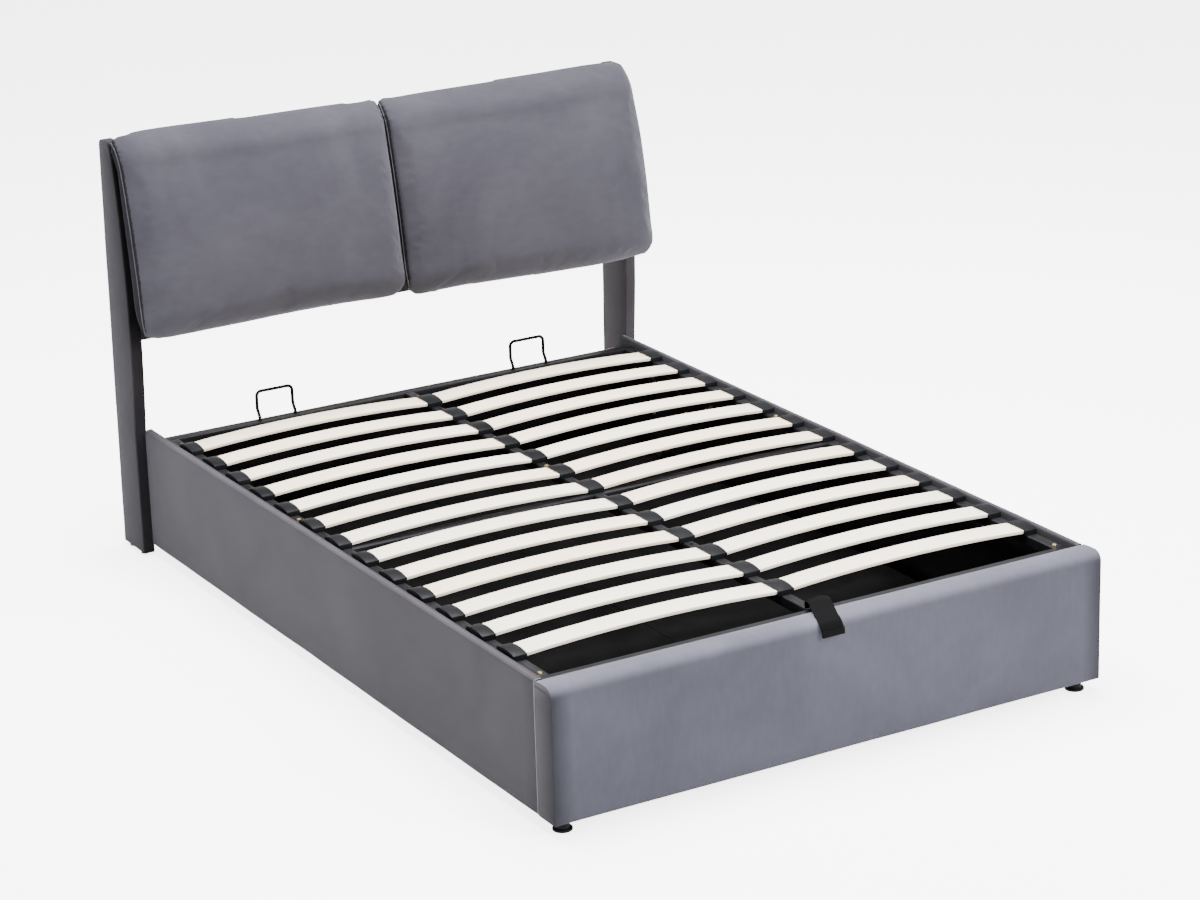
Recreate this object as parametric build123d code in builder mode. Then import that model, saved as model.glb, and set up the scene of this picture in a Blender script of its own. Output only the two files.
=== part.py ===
"""Ottoman bed with a padded frame, two headboard cushions and a lifting slatted platform.

Frame: X across the bed, +Y towards the head, +Z up. The origin is at floor level in the
middle of the bed's length and width. All sizes are in millimetres.
"""
import os
from math import atan2, cos, degrees, hypot, radians, sin

from build123d import *

os.makedirs("parts", exist_ok=True)

# Overall sizes
bed_width = 1450.0
bed_length = 2233.5
rail_top = 343.0
floor_gap = 30.0

# Clearances
fit_gap = 0.3
pin_gap = 0.05
hole_gap = 0.25

# Flat sides of the small pieces that repeat
bolt_sides = 8
glide_sides = 12
bend_sides = 3

# Padded cloth on the boards
pad = 4.0
crown_pad = 5.0
lip_pad = 2.0
lip_depth = 45.0
hem_pad = 3.0
hem_width = 16.0
rail_round = 9.0
rail_inner_round = 5.0
lining = 1.2

# Side rails
side_board = 15.0
tongue_length = 74.0
tongue_low = 70.0
tongue_height = 200.0

# Footboard
foot_depth = 72.0
foot_pad = 6.0
foot_round = 24.0
foot_corner_round = 9.0
foot_back_round = 6.0
foot_front_board = 15.0
foot_back_board = 12.0
foot_batten = 30.0

# Headboard posts
post_thickness = 31.5
post_depth = 128.0
post_top_depth = 68.0
post_top_set = 36.0
post_height = 1098.0
post_low = 8.0
post_belly = 13.0
post_belly_height = 650.0
post_shoulder_set = 8.0
post_shoulder_drop = 158.0
post_corner = 16.0

# Headboard panel
panel_low = 580.0
panel_high = 1084.0
panel_board = 15.0
panel_front_pad = 10.0
panel_back_pad = 3.0
panel_top_pad = 8.0
panel_low_set = 10.0
panel_high_set = 38.0

# Headboard cushions
cushion_low = 604.0
cushion_height = 518.0
cushion_gap = 4.0
cushion_edge_set = 4.0
cushion_stand = 135.0
cushion_edge_band = 18.0
cushion_shoulder_band = 73.0
cushion_cheek_band = 193.0
tape_width = 50.0
tape_end_set = 63.25
tape_thickness = 2.0

# Storage well
bearer = 20.0
bearer_low = 34.0
floor_board = 4.0
floor_joint = 2.0
centre_bearer_width = 45.0
end_board = 15.0
end_board_set = 25.0
end_board_high = 298.0
rest_batten = 30.0
rest_batten_depth = 20.0
rest_batten_set = 114.0

# Feet
foot_pad_diameter = 45.0
foot_pad_height = 6.0
foot_stem_diameter = 32.0
foot_inset = 40.0
glide_diameter = 22.0
glide_inset = 28.0
centre_foot_diameter = 40.0
centre_foot_count = 3

# Steel platform
frame_side_gap = 6.0
frame_foot_gap = 3.0
frame_head_gap = 54.0
frame_drop = 12.0
tube_width = 30.0
tube_height = 25.0
tube_wall = 1.5
tube_edge = 1.6
centre_width = 26.0
frame_corner = 12.0
spigot_length = 90.0
rail_joint_set = 600.0
rail_joint_lead = 41.2
sleeve_length = 330.0
sleeve_gap = 0.3
cross_bar_set = 375.0
centre_hole = 8.0
centre_hole_place = 605.0

# Bolts of the steel platform, with each bolt's distance from the end of its rail
steel_bolt = 6.0
steel_bolt_head = 13.0
steel_bolt_dome = 3.4
steel_bolt_length = 12.0
sleeve_bolt_set = 132.0
head_bolt_set = 51.0
foot_bolt_set = 15.0
foot_stud_set = 58.0
foot_stud_length = 9.0
steel_nut = 11.0
steel_nut_height = 5.0
steel_washer = 16.0
steel_washer_thickness = 1.5

# Sprung slats and their holders
slat_pitch = 138.5
slat_first = 211.0
slat_width = 65.0
slat_thickness = 8.0
slat_bow = 13.0
slat_seat = 2.4
slat_play = 0.5
holder_wall = 4.8
holder_reach = 34.0
holder_socket = 19.5
holder_side = 11.8
holder_crown = 5.8
holder_cap = 2.4
holder_cap_edge = 1.0
centre_holder_half = 21.0
centre_web_half = 4.0
slat_end_gap = 1.0

# Mattress loops on the head rail
loop_wire = 7.0
loop_half = 52.0
loop_height = 82.0
loop_set = 320.0
loop_round = 13.0
loop_kink = 6.0
loop_kink_height = 16.0
loop_kink_round = 9.0
loop_root = 18.0

# Pull strap
strap_width = 58.0
strap_thickness = 2.2
strap_hang = 38.0
strap_hem = 12.0
strap_clear = 0.8

# Lift mechanism
lift_angle = 38.0
hinge_from_post = 200.0
hinge_drop = 36.0
hinge_pin = 10.0
hinge_head = 17.0
hinge_head_thickness = 3.5
hinge_collar = 18.0
plate_thickness = 4.0
hinge_plate_set = 4.0
hinge_plate_length = 120.0
hinge_boss = 34.0
lift_plate_foot = 170.0
lift_plate_head = 45.0
lift_plate_rise = 18.0
lift_plate_shoulder = 40.0
lift_plate_drop = 208.0
lift_plate_round = 18.0

# Gas struts: their studs are placed from the hinge
base_stud_set = 50.0
base_stud_drop = 190.0
top_stud_set = 320.0
top_stud_rise = 5.0
stud = 8.0
stud_collar = 16.0
stud_clip = 14.0
stud_clip_thickness = 2.5
stud_washer = 26.0
stud_washer_thickness = 2.0
bracket_length = 84.0
bracket_boss = 26.0
strut_plate_gap = 8.0
eye_width = 12.0
eye_wall = 5.0
open_eye_play = 4.6
strut_neck = 10.0
strut_neck_length = 8.0
strut_tube = 22.0
strut_tube_wall = 1.7
strut_tube_length = 180.0
strut_tube_end = 8.0
strut_rod = 10.0
rod_gap = 0.1
piston_length = 14.0
piston_place = 45.0

# Bolts and angles that join the boards
dome_taper = 25.0
board_bolt = 8.0
board_bolt_head = 16.0
board_bolt_dome = 4.0
board_bolt_bite = 13.0
post_bolt_bite = 17.0
post_bolt_set = 57.0
post_bolt_edge = 24.0
angle_leaf = 60.0
angle_thickness = 3.0
angle_height = 140.0
angle_bolt_set = 36.0
angle_bolt_edge = 25.0

# Places worked out from the sizes above
half_width = bed_width / 2
foot_face = -bed_length / 2 + strap_clear + 2 * strap_thickness
foot_back = foot_face + foot_depth
post_back = bed_length / 2
post_front = post_back - post_depth
board_outer = half_width - pad
board_inner = board_outer - side_board
rail_inner = board_inner - lip_pad
board_low = floor_gap + hem_pad
board_top = rail_top - crown_pad
lip_low = rail_top - lip_depth
post_inner = board_outer
post_outer = post_inner + post_thickness
tongue_high = tongue_low + tongue_height
angle_low = (board_low + board_top - angle_height) / 2
side_lining_face = board_inner - lining
back_board_face = foot_back - lip_pad
foot_lining_face = back_board_face + lining
end_board_front = post_front + end_board_set
head_lining_face = end_board_front - lining
floor_low = bearer_low + bearer
floor_top = floor_low + floor_board
lining_top = lip_low - lip_pad
frame_half = rail_inner - frame_side_gap
frame_front = foot_back + frame_foot_gap
frame_back = post_front - frame_head_gap
steel_top = rail_top - frame_drop
steel_low = steel_top - tube_height
steel_middle = steel_top - tube_height / 2
side_tube_middle = frame_half - tube_width / 2
side_tube_inner = frame_half - tube_width
rail_start = frame_front + tube_width
rail_end = frame_back - tube_width
first_row = foot_face + slat_first
joint_row = int((rail_end - rail_joint_set - first_row) / slat_pitch) + 1
rail_split = first_row + joint_row * slat_pitch - rail_joint_lead
hinge_y = post_front - hinge_from_post
hinge_z = steel_low - hinge_drop
base_stud_y = hinge_y - base_stud_set
base_stud_z = hinge_z - base_stud_drop
top_stud_y = hinge_y - top_stud_set
top_stud_z = hinge_z + top_stud_rise
lift_plate_inner = side_lining_face - plate_thickness
hinge_plate_outer = frame_half - hinge_plate_set
hinge_plate_inner = hinge_plate_outer - plate_thickness
strut_middle = hinge_plate_inner - strut_plate_gap - eye_width / 2


def save(piece, name):
    """Label a finished piece and write it as its own file."""
    piece.part.label = name
    export_step(piece.part, f"parts/{name}.step")


def save_pair(piece, name):
    """Write a piece modelled on the right, and its mirror image on the left."""
    save(piece, f"{name}_right")
    with BuildPart() as twin:
        mirror(piece.part, about=Plane.YZ)
    save(twin, f"{name}_left")


def across(y):
    """Upright plane across the bed; a positive extrusion from it goes towards the foot."""
    return Plane.XZ.offset(-y)


def along(x):
    """Upright plane along the bed; a positive extrusion from it goes to the right."""
    return Plane.YZ.offset(x)


def level(z):
    """Level plane at a height."""
    return Plane.XY.offset(z)


def slab(low, high, mode=Mode.ADD):
    """Rectangle between two opposite corners."""
    with Locations(((low[0] + high[0]) / 2, (low[1] + high[1]) / 2)):
        Rectangle(high[0] - low[0], high[1] - low[1], mode=mode)


def box_between(low, high, mode=Mode.ADD):
    """Upright block between its lowest and highest corners."""
    with BuildSketch(level(low[2])) as base:
        slab(low, high)
    extrude(base.sketch, amount=high[2] - low[2], mode=mode)


def drill(plane, places, diameter, depth, sides=bolt_sides):
    """Holes from a plane, along its normal, for eight-sided shanks; zero sides makes them round."""
    with BuildSketch(plane) as holes:
        with Locations(*places):
            if sides:
                RegularPolygon(diameter / 2, sides)
            else:
                Circle(diameter / 2)
    extrude(holes.sketch, amount=depth, mode=Mode.SUBTRACT)


def stepped_pin(steps, y, z):
    """Pin across the bed, from (outer end, inner end, diameter, sides) steps; zero sides is round."""
    for outer, inner, diameter, sides in steps:
        with BuildSketch(along(inner)) as face:
            with Locations((y, z)):
                if sides:
                    RegularPolygon(diameter / 2, sides)
                else:
                    Circle(diameter / 2)
        extrude(face.sketch, amount=outer - inner)


def tube_face(width, height, wall=tube_wall):
    """Cross-section of a steel tube with its corners broken."""
    with BuildSketch(mode=Mode.PRIVATE) as outside:
        Rectangle(width, height)
        chamfer(outside.vertices(), tube_edge)
    add(outside.sketch)
    if wall:
        Rectangle(width - 2 * wall, height - 2 * wall, mode=Mode.SUBTRACT)


def domed_bolt(diameter, length, head, dome):
    """Bolt that points down, with a low faceted head that sits on the origin's level."""
    with BuildPart() as bolt:
        with BuildSketch(level(-length)):
            RegularPolygon(diameter / 2, bolt_sides)
        extrude(amount=length)
        with BuildSketch(level(0)):
            RegularPolygon(head / 2, bolt_sides)
        extrude(amount=dome, taper=dome_taper)
    return bolt.part


# Places of the bolts in the boards
post_bolt_y = post_front + post_bolt_set
post_bolt_heights = (tongue_low + post_bolt_edge, tongue_high - post_bolt_edge)
angle_bolt_heights = (angle_low + angle_bolt_edge, angle_low + angle_height - angle_bolt_edge)
angle_bolt_y = foot_lining_face + angle_bolt_set
angle_bolt_x = side_lining_face - angle_bolt_set
lift_bolt_places = [
    (hinge_y - lift_plate_foot + post_bolt_edge, hinge_z - lift_plate_drop + post_bolt_edge),
    (hinge_y - lift_plate_foot + post_bolt_edge, hinge_z - lift_plate_shoulder - post_bolt_edge),
    (hinge_y + lift_plate_head - post_bolt_edge, hinge_z - lift_plate_drop / 2),
]
side_bolt_places = [(angle_bolt_y, z) for z in angle_bolt_heights] + lift_bolt_places
board_hole = board_bolt + 2 * hole_gap

# Side rail boards, each with a tongue that lies against the inside of its post
with BuildPart() as side_board_piece:
    with BuildSketch(along(board_inner)):
        with BuildLine():
            Polyline(
                (foot_back, board_low),
                (post_front, board_low),
                (post_front, tongue_low),
                (post_front + tongue_length, tongue_low),
                (post_front + tongue_length, tongue_high),
                (post_front, tongue_high),
                (post_front, board_top),
                (foot_back, board_top),
                close=True,
            )
        make_face()
    extrude(amount=side_board)
    drill(along(board_inner), [(post_bolt_y, z) for z in post_bolt_heights], board_hole, side_board)
    drill(along(board_inner), side_bolt_places, board_hole, board_bolt_bite)
save_pair(side_board_piece, "side_rail_board")

# Padded covers of the side rails: outside, top, inner lip and the hem underneath
with BuildPart() as side_cover:
    with BuildSketch(across(post_front)) as cover_section:
        slab((rail_inner, floor_gap), (half_width, rail_top))
        top_corners = cover_section.vertices().group_by(Axis.Y)[-1].sort_by(Axis.X)
        fillet(top_corners[0], rail_inner_round)
        fillet(
            cover_section.vertices().group_by(Axis.Y)[-1].sort_by(Axis.X)[-1],
            rail_round,
        )
        slab((board_inner, board_low), (board_outer, board_top), mode=Mode.SUBTRACT)
        slab((rail_inner, floor_gap), (board_inner, lip_low), mode=Mode.SUBTRACT)
        slab((board_inner, floor_gap), (board_outer - hem_width, board_low), mode=Mode.SUBTRACT)
    extrude(amount=post_front - foot_back)
    with BuildSketch(along(rail_inner)) as cover_side:
        slab((foot_back, floor_gap), (post_front, rail_top))
        head_corner = cover_side.vertices().group_by(Axis.Y)[-1].sort_by(Axis.X)[-1]
        fillet(head_corner, crown_pad)
    extrude(amount=half_width - rail_inner, mode=Mode.INTERSECT)
save_pair(side_cover, "side_rail_cover")


def foot_space(sketch, inset, top):
    """Side view of the hollow inside the footboard's cover, drawn inside a sketch."""
    slab((foot_face + inset, board_low), (back_board_face, top))
    fillet(sketch.vertices().group_by(Axis.Y)[-1].sort_by(Axis.X)[0], foot_round - inset)


# Padded cover of the footboard, rounded over its front and its ends
with BuildPart() as foot_cover:
    with BuildSketch(along(-half_width)) as foot_side:
        slab((foot_face, floor_gap), (foot_back, rail_top))
        fillet(foot_side.vertices().group_by(Axis.Y)[-1].sort_by(Axis.X)[0], foot_round)
        fillet(foot_side.vertices().group_by(Axis.Y)[-1].sort_by(Axis.X)[-1], foot_back_round)
    extrude(amount=bed_width)
    with BuildSketch(level(floor_gap)) as foot_plan:
        slab((-half_width, foot_face), (half_width, foot_back))
        fillet(foot_plan.vertices().group_by(Axis.Y)[0], foot_corner_round)
    extrude(amount=rail_top, mode=Mode.INTERSECT)
    with BuildSketch(across(foot_back)) as foot_front:
        slab((-half_width, floor_gap), (half_width, rail_top))
        fillet(foot_front.vertices().group_by(Axis.Y)[-1], rail_round)
    extrude(amount=foot_depth, mode=Mode.INTERSECT)
    with BuildSketch(along(-board_outer)) as foot_hollow:
        foot_space(foot_hollow, foot_pad, rail_top - foot_pad)
    extrude(amount=2 * board_outer, mode=Mode.SUBTRACT)
    box_between(
        (-board_outer, back_board_face, floor_gap),
        (board_outer, foot_back, lip_low),
        mode=Mode.SUBTRACT,
    )
    box_between(
        (-board_outer + hem_width, foot_face + foot_pad + hem_width, floor_gap),
        (board_outer - hem_width, foot_back, board_low),
        mode=Mode.SUBTRACT,
    )
save(foot_cover, "footboard_cover")

# Front board of the footboard; its top follows the rounding of the cover
front_board_back = foot_face + foot_pad + foot_front_board
with BuildPart() as front_board:
    with BuildSketch(along(-board_outer)) as front_board_side:
        foot_space(front_board_side, foot_pad, rail_top - foot_pad)
        slab((front_board_back, board_low), (back_board_face, rail_top), mode=Mode.SUBTRACT)
    extrude(amount=2 * board_outer)
save(front_board, "footboard_front_board")

# Back board of the footboard, with the holes of the corner angles
back_board_front = back_board_face - foot_back_board
foot_hole_places = [(x, z) for x in (-angle_bolt_x, angle_bolt_x) for z in angle_bolt_heights]
with BuildPart() as back_board:
    box_between(
        (-board_outer, back_board_front, board_low),
        (board_outer, back_board_face, rail_top - foot_pad),
    )
    drill(across(back_board_face), foot_hole_places, board_hole, foot_back_board)
save(back_board, "footboard_back_board")

# Battens between the two boards of the footboard: top, bottom, both ends and the middle
batten_high = rail_top - foot_pad - fit_gap
with BuildPart() as foot_battens:
    for low in (board_low, batten_high - foot_batten):
        box_between(
            (-board_outer, front_board_back, low),
            (board_outer, back_board_front, low + foot_batten),
        )
    for x in (-board_outer, -foot_batten / 2, board_outer - foot_batten):
        box_between(
            (x, front_board_back, board_low + foot_batten),
            (x + foot_batten, back_board_front, batten_high - foot_batten),
        )
save(foot_battens, "footboard_battens")

# Headboard posts: a timber core, and its padded cover with a thin skin on the bed's inside
core_inner = post_inner + lip_pad
core_thickness = post_thickness - pad - lip_pad
post_top_front = post_front + post_top_set
post_top_back = post_top_front + post_top_depth


def post_side(sketch):
    """Side view of a post with its belly, its leaning top and its rounded top corners."""
    with BuildLine() as outline:
        shin = Line((post_front, post_low), (post_front, rail_top))
        belly = ThreePointArc(
            shin @ 1,
            (post_front - post_belly, post_belly_height),
            (post_front + post_shoulder_set, post_height - post_shoulder_drop),
        )
        neck = TangentArc(belly @ 1, (post_top_front, post_height), tangent=belly % 1)
        crown = Line(neck @ 1, (post_top_back, post_height))
        back = Line(crown @ 1, (post_back, post_low))
        Line(back @ 1, shin @ 0)
    make_face(outline.edges())
    fillet(sketch.vertices().group_by(Axis.Y)[-1], post_corner)


with BuildPart() as post_core:
    with BuildSketch(along(core_inner)) as core_side:
        post_side(core_side)
        offset(amount=-pad, mode=Mode.REPLACE)
    extrude(amount=core_thickness)
    drill(
        along(core_inner),
        [(post_bolt_y, z) for z in post_bolt_heights],
        board_hole,
        post_bolt_bite - lip_pad + hole_gap,
    )
save_pair(post_core, "post_core")

with BuildPart() as post_cover:
    with BuildSketch(along(post_inner)) as cover_outline:
        post_side(cover_outline)
    extrude(amount=post_thickness)
    chamfer(post_cover.faces().sort_by(Axis.X)[-1].edges(), pad * 0.7)
    with BuildSketch(along(core_inner)) as core_outline:
        post_side(core_outline)
        offset(amount=-pad, mode=Mode.REPLACE)
    extrude(amount=core_thickness, mode=Mode.SUBTRACT)
    drill(along(post_inner), [(post_bolt_y, z) for z in post_bolt_heights], board_hole, lip_pad)
save_pair(post_cover, "post_cover")

# Leaning headboard panel between the posts: a bare-edged board in a padded cover
panel_lean = (panel_high_set - panel_low_set) / (panel_high - panel_low)


def panel_place(z):
    """Place along the bed of the panel's front face at a height."""
    return post_front + panel_low_set + (z - panel_low) * panel_lean


def panel_side(front, back, low, high):
    """Side view of a leaning layer, from its distances behind the panel's front face."""
    with BuildLine() as outline:
        Polyline(
            (panel_place(low) + front, low),
            (panel_place(low) + back, low),
            (panel_place(high) + back, high),
            (panel_place(high) + front, high),
            close=True,
        )
    make_face(outline.edges())


panel_depth = panel_front_pad + panel_board + panel_back_pad
board_crest = panel_high - panel_top_pad
with BuildPart() as panel_board_piece:
    with BuildSketch(along(-post_inner)):
        panel_side(panel_front_pad, panel_front_pad + panel_board, panel_low, board_crest)
    extrude(amount=2 * post_inner)
save(panel_board_piece, "headboard_board")

with BuildPart() as panel_cover:
    with BuildSketch(along(-post_inner)) as panel_outline:
        panel_side(0, panel_depth, panel_low, panel_high)
        fillet(panel_outline.vertices().group_by(Axis.Y)[-1], panel_top_pad)
        panel_side_board = panel_front_pad + panel_board
        with BuildLine():
            Polyline(
                (panel_place(panel_low) + panel_front_pad, panel_low),
                (panel_place(panel_low) + panel_side_board, panel_low),
                (panel_place(board_crest) + panel_side_board, board_crest),
                (panel_place(board_crest) + panel_front_pad, board_crest),
                close=True,
            )
        make_face(mode=Mode.SUBTRACT)
    extrude(amount=2 * post_inner)
save(panel_cover, "headboard_cover")

# Headboard cushions, lofted across from a thin seam at each end to full depth in the middle.
# Each point is a share of the cushion's stand from the posts and a share of its height.
front_middle_shares = [
    (-0.207, 1.0),
    (0.207, 0.952),
    (0.444, 0.832),
    (0.830, 0.510),
    (1.0, 0.185),
    (0.904, 0.069),
    (0.630, 0.0),
]
front_seam_shares = [
    (-0.281, 0.952),
    (-0.044, 0.903),
    (0.133, 0.813),
    (0.407, 0.494),
    (0.585, 0.164),
    (0.652, 0.108),
    (0.667, 0.062),
]
under_middle_share = (0.163, 0.054)
under_seam_share = (0.570, 0.104)
nape_middle_share = (-0.245, 0.934)
nape_seam_share = (-0.119, 0.888)
back_seam_shares = [(0.519, 0.164), (0.067, 0.813)]
back_height_shares = (0.185, 0.842)
station_fullness_shares = (0.0, 0.45, 0.80, 0.97, 1.0)
section_counts = (2, 3, 3, 2, 1, 2)


def cushion_point(share):
    """Point of a cushion's side view from its shares of stand and height."""
    return (post_front - share[0] * cushion_stand, cushion_low + share[1] * cushion_height)


def between(seam, middle, fullness):
    """Point between the seam's and the middle's places."""
    return tuple(s + (m - s) * fullness for s, m in zip(seam, middle))


def cushion_section(fullness):
    """Side view of a cushion at a fullness, drawn inside a sketch."""
    rest = tape_thickness + fit_gap
    backs = []
    for seam_share, height_share in zip(back_seam_shares, back_height_shares):
        height = cushion_low + height_share * cushion_height
        backs.append(between(cushion_point(seam_share), (panel_place(height) - rest, height), fullness))
    front = [
        between(cushion_point(seam), cushion_point(middle), fullness)
        for seam, middle in zip(front_seam_shares, front_middle_shares)
    ]
    under = between(cushion_point(under_seam_share), cushion_point(under_middle_share), fullness)
    nape = between(cushion_point(nape_seam_share), cushion_point(nape_middle_share), fullness)
    with BuildLine():
        curves = [
            ThreePointArc(front[0], front[1], front[2]),
            ThreePointArc(front[2], front[3], front[4]),
            ThreePointArc(front[4], front[5], front[6]),
            ThreePointArc(front[6], under, backs[0]),
            Line(backs[0], backs[1]),
            ThreePointArc(backs[1], nape, front[0]),
        ]
    corners = [
        curve @ (step / count)
        for curve, count in zip(curves, section_counts)
        for step in range(count)
    ]
    with BuildLine() as outline:
        Polyline(*corners, close=True)
    make_face(outline.edges())


cushion_inner = cushion_gap / 2
cushion_outer = post_outer - cushion_edge_set
cushion_middle = (cushion_inner + cushion_outer) / 2
cushion_half = cushion_outer - cushion_middle
station_sets = (
    cushion_half,
    cushion_half - cushion_edge_band,
    cushion_half - cushion_shoulder_band,
    cushion_half - cushion_cheek_band,
    0,
)
stations = [
    (cushion_middle - reach, share) for reach, share in zip(station_sets, station_fullness_shares)
]
stations += [
    (cushion_middle + reach, share)
    for reach, share in list(zip(station_sets, station_fullness_shares))[-2::-1]
]
with BuildPart() as cushion:
    for place, fullness in stations:
        with BuildSketch(along(place)):
            cushion_section(fullness)
    loft(ruled=True)
save_pair(cushion, "headboard_cushion")

# Hook-and-loop tapes that hold the cushions to the panel
tape_half = cushion_half - tape_end_set
with BuildPart() as tapes:
    for middle in (-cushion_middle, cushion_middle):
        for share in (0.35, 0.75):
            tape_low = panel_low + (panel_high - panel_low) * share
            with BuildSketch(along(middle - tape_half)):
                panel_side(-tape_thickness, 0, tape_low, tape_low + tape_width)
            extrude(amount=2 * tape_half)
save(tapes, "cushion_tapes")

# Board that closes the head end of the storage well
with BuildPart() as end_board_piece:
    box_between(
        (-board_inner, end_board_front, board_low),
        (board_inner, end_board_front + end_board, end_board_high),
    )
save(end_board_piece, "head_end_board")

# Battens along the foot of the side rails, which carry the floor boards
with BuildPart() as side_bearers:
    for x in (-board_inner, board_inner - bearer):
        box_between(
            (x, back_board_face, bearer_low),
            (x + bearer, end_board_front, bearer_low + bearer),
        )
save(side_bearers, "side_bearers")

with BuildPart() as centre_bearer:
    box_between(
        (-centre_bearer_width / 2, back_board_face, bearer_low),
        (centre_bearer_width / 2, end_board_front, bearer_low + bearer),
    )
save(centre_bearer, "centre_bearer")

# Two thin floor boards, with their joint over the centre bearer
with BuildPart() as floor_boards:
    for low, high in ((-board_inner, -floor_joint / 2), (floor_joint / 2, board_inner)):
        box_between((low, back_board_face, floor_low), (high, end_board_front, floor_top))
save(floor_boards, "floor_boards")

# Dark cloth lining on the four walls of the storage well
with BuildPart() as lining_piece:
    for x in (-board_inner, side_lining_face):
        box_between((x, back_board_face, floor_top), (x + lining, end_board_front, lining_top))
    box_between(
        (-side_lining_face, back_board_face, floor_top),
        (side_lining_face, foot_lining_face, lining_top),
    )
    box_between(
        (-side_lining_face, head_lining_face, floor_top),
        (side_lining_face, end_board_front, lining_top),
    )
    drill(along(-board_inner), side_bolt_places, board_hole, 2 * board_inner)
    drill(across(foot_lining_face), foot_hole_places, board_hole, lining)
save(lining_piece, "storage_lining")

# Batten on the inside of the footboard, on which the closed platform rests
rest_half = rail_inner - rest_batten_set
with BuildPart() as rest:
    box_between(
        (-rest_half, foot_back, steel_low - fit_gap - rest_batten),
        (rest_half, foot_back + rest_batten_depth, steel_low - fit_gap),
    )
save(rest, "rest_batten")

# Front feet under the footboard's corners, centre feet under the middle bearer, post glides
foot_y = foot_face + foot_inset
foot_x = half_width - foot_inset
with BuildPart() as corner_feet:
    with BuildSketch(level(0)):
        with Locations((-foot_x, foot_y), (foot_x, foot_y)):
            RegularPolygon(foot_pad_diameter / 2, 2 * glide_sides)
    extrude(amount=foot_pad_height)
    with BuildSketch(level(foot_pad_height)):
        with Locations((-foot_x, foot_y), (foot_x, foot_y)):
            RegularPolygon(foot_stem_diameter / 2, glide_sides)
    extrude(amount=board_low - foot_pad_height)
save(corner_feet, "corner_feet")

bearer_length = end_board_front - back_board_face
with BuildPart() as centre_feet:
    with BuildSketch(level(0)):
        for number in range(centre_foot_count):
            share = (number + 1) / (centre_foot_count + 1)
            with Locations((0, back_board_face + bearer_length * share)):
                RegularPolygon(centre_foot_diameter / 2, glide_sides)
    extrude(amount=bearer_low)
save(centre_feet, "centre_feet")

glide_x = post_inner + post_thickness / 2
with BuildPart() as glides:
    with BuildSketch(level(0)):
        with Locations(
            *[
                (x, y)
                for x in (-glide_x, glide_x)
                for y in (post_front + glide_inset, post_back - glide_inset)
            ]
        ):
            RegularPolygon(glide_diameter / 2, glide_sides)
    extrude(amount=post_low)
save(glides, "post_glides")

# Steel angles that join the side rails to the footboard
with BuildPart() as angle:
    box_between(
        (side_lining_face - angle_leaf, foot_lining_face, angle_low),
        (side_lining_face, foot_lining_face + angle_leaf, angle_low + angle_height),
    )
    box_between(
        (side_lining_face - angle_leaf, foot_lining_face + angle_thickness, angle_low),
        (
            side_lining_face - angle_thickness,
            foot_lining_face + angle_leaf,
            angle_low + angle_height,
        ),
        mode=Mode.SUBTRACT,
    )
    drill(
        along(side_lining_face - angle_thickness),
        [(angle_bolt_y, z) for z in angle_bolt_heights],
        board_hole,
        angle_thickness,
    )
    drill(
        across(foot_lining_face + angle_thickness),
        [(angle_bolt_x, z) for z in angle_bolt_heights],
        board_hole,
        angle_thickness,
    )
save_pair(angle, "corner_angle")

# Domed bolts of the boards: posts, corner angles and lift plates
with BuildPart() as board_bolts:
    long_bolt = domed_bolt(board_bolt, side_board + post_bolt_bite, board_bolt_head, board_bolt_dome)
    with Locations(
        *[Location((board_inner, post_bolt_y, z), (0, -90, 0)) for z in post_bolt_heights],
    ):
        add(long_bolt)
    side_bolt = domed_bolt(
        board_bolt, angle_thickness + lining + board_bolt_bite, board_bolt_head, board_bolt_dome
    )
    with Locations(
        *[
            Location((side_lining_face - angle_thickness, angle_bolt_y, z), (0, -90, 0))
            for z in angle_bolt_heights
        ],
    ):
        add(side_bolt)
    foot_bolt = domed_bolt(
        board_bolt, angle_thickness + lining + foot_back_board, board_bolt_head, board_bolt_dome
    )
    with Locations(
        *[
            Location((angle_bolt_x, foot_lining_face + angle_thickness, z), (-90, 0, 0))
            for z in angle_bolt_heights
        ],
    ):
        add(foot_bolt)
    plate_bolt = domed_bolt(
        board_bolt, plate_thickness + lining + board_bolt_bite, board_bolt_head, board_bolt_dome
    )
    with Locations(
        *[Location((lift_plate_inner, y, z), (0, -90, 0)) for y, z in lift_bolt_places],
    ):
        add(plate_bolt)
    mirror(about=Plane.YZ)
save(board_bolts, "board_bolts")

# Steel plates of the lift mechanism, bolted to the side rails
with BuildPart() as lift_plate:
    with BuildSketch(along(lift_plate_inner)) as plate_outline:
        with BuildLine():
            Polyline(
                (hinge_y - lift_plate_foot, hinge_z - lift_plate_drop),
                (hinge_y + lift_plate_head, hinge_z - lift_plate_drop),
                (hinge_y + lift_plate_head, hinge_z + lift_plate_rise),
                (hinge_y - lift_plate_head, hinge_z + lift_plate_rise),
                (hinge_y - lift_plate_foot, hinge_z - lift_plate_shoulder),
                close=True,
            )
        make_face()
        fillet(plate_outline.vertices(), lift_plate_round)
    extrude(amount=plate_thickness)
    drill(along(lift_plate_inner), lift_bolt_places, board_hole, plate_thickness)
    for place, pin in (((hinge_y, hinge_z), hinge_pin), ((base_stud_y, base_stud_z), stud)):
        drill(along(lift_plate_inner), [place], pin + 2 * pin_gap, plate_thickness)
save_pair(lift_plate, "lift_plate")

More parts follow.
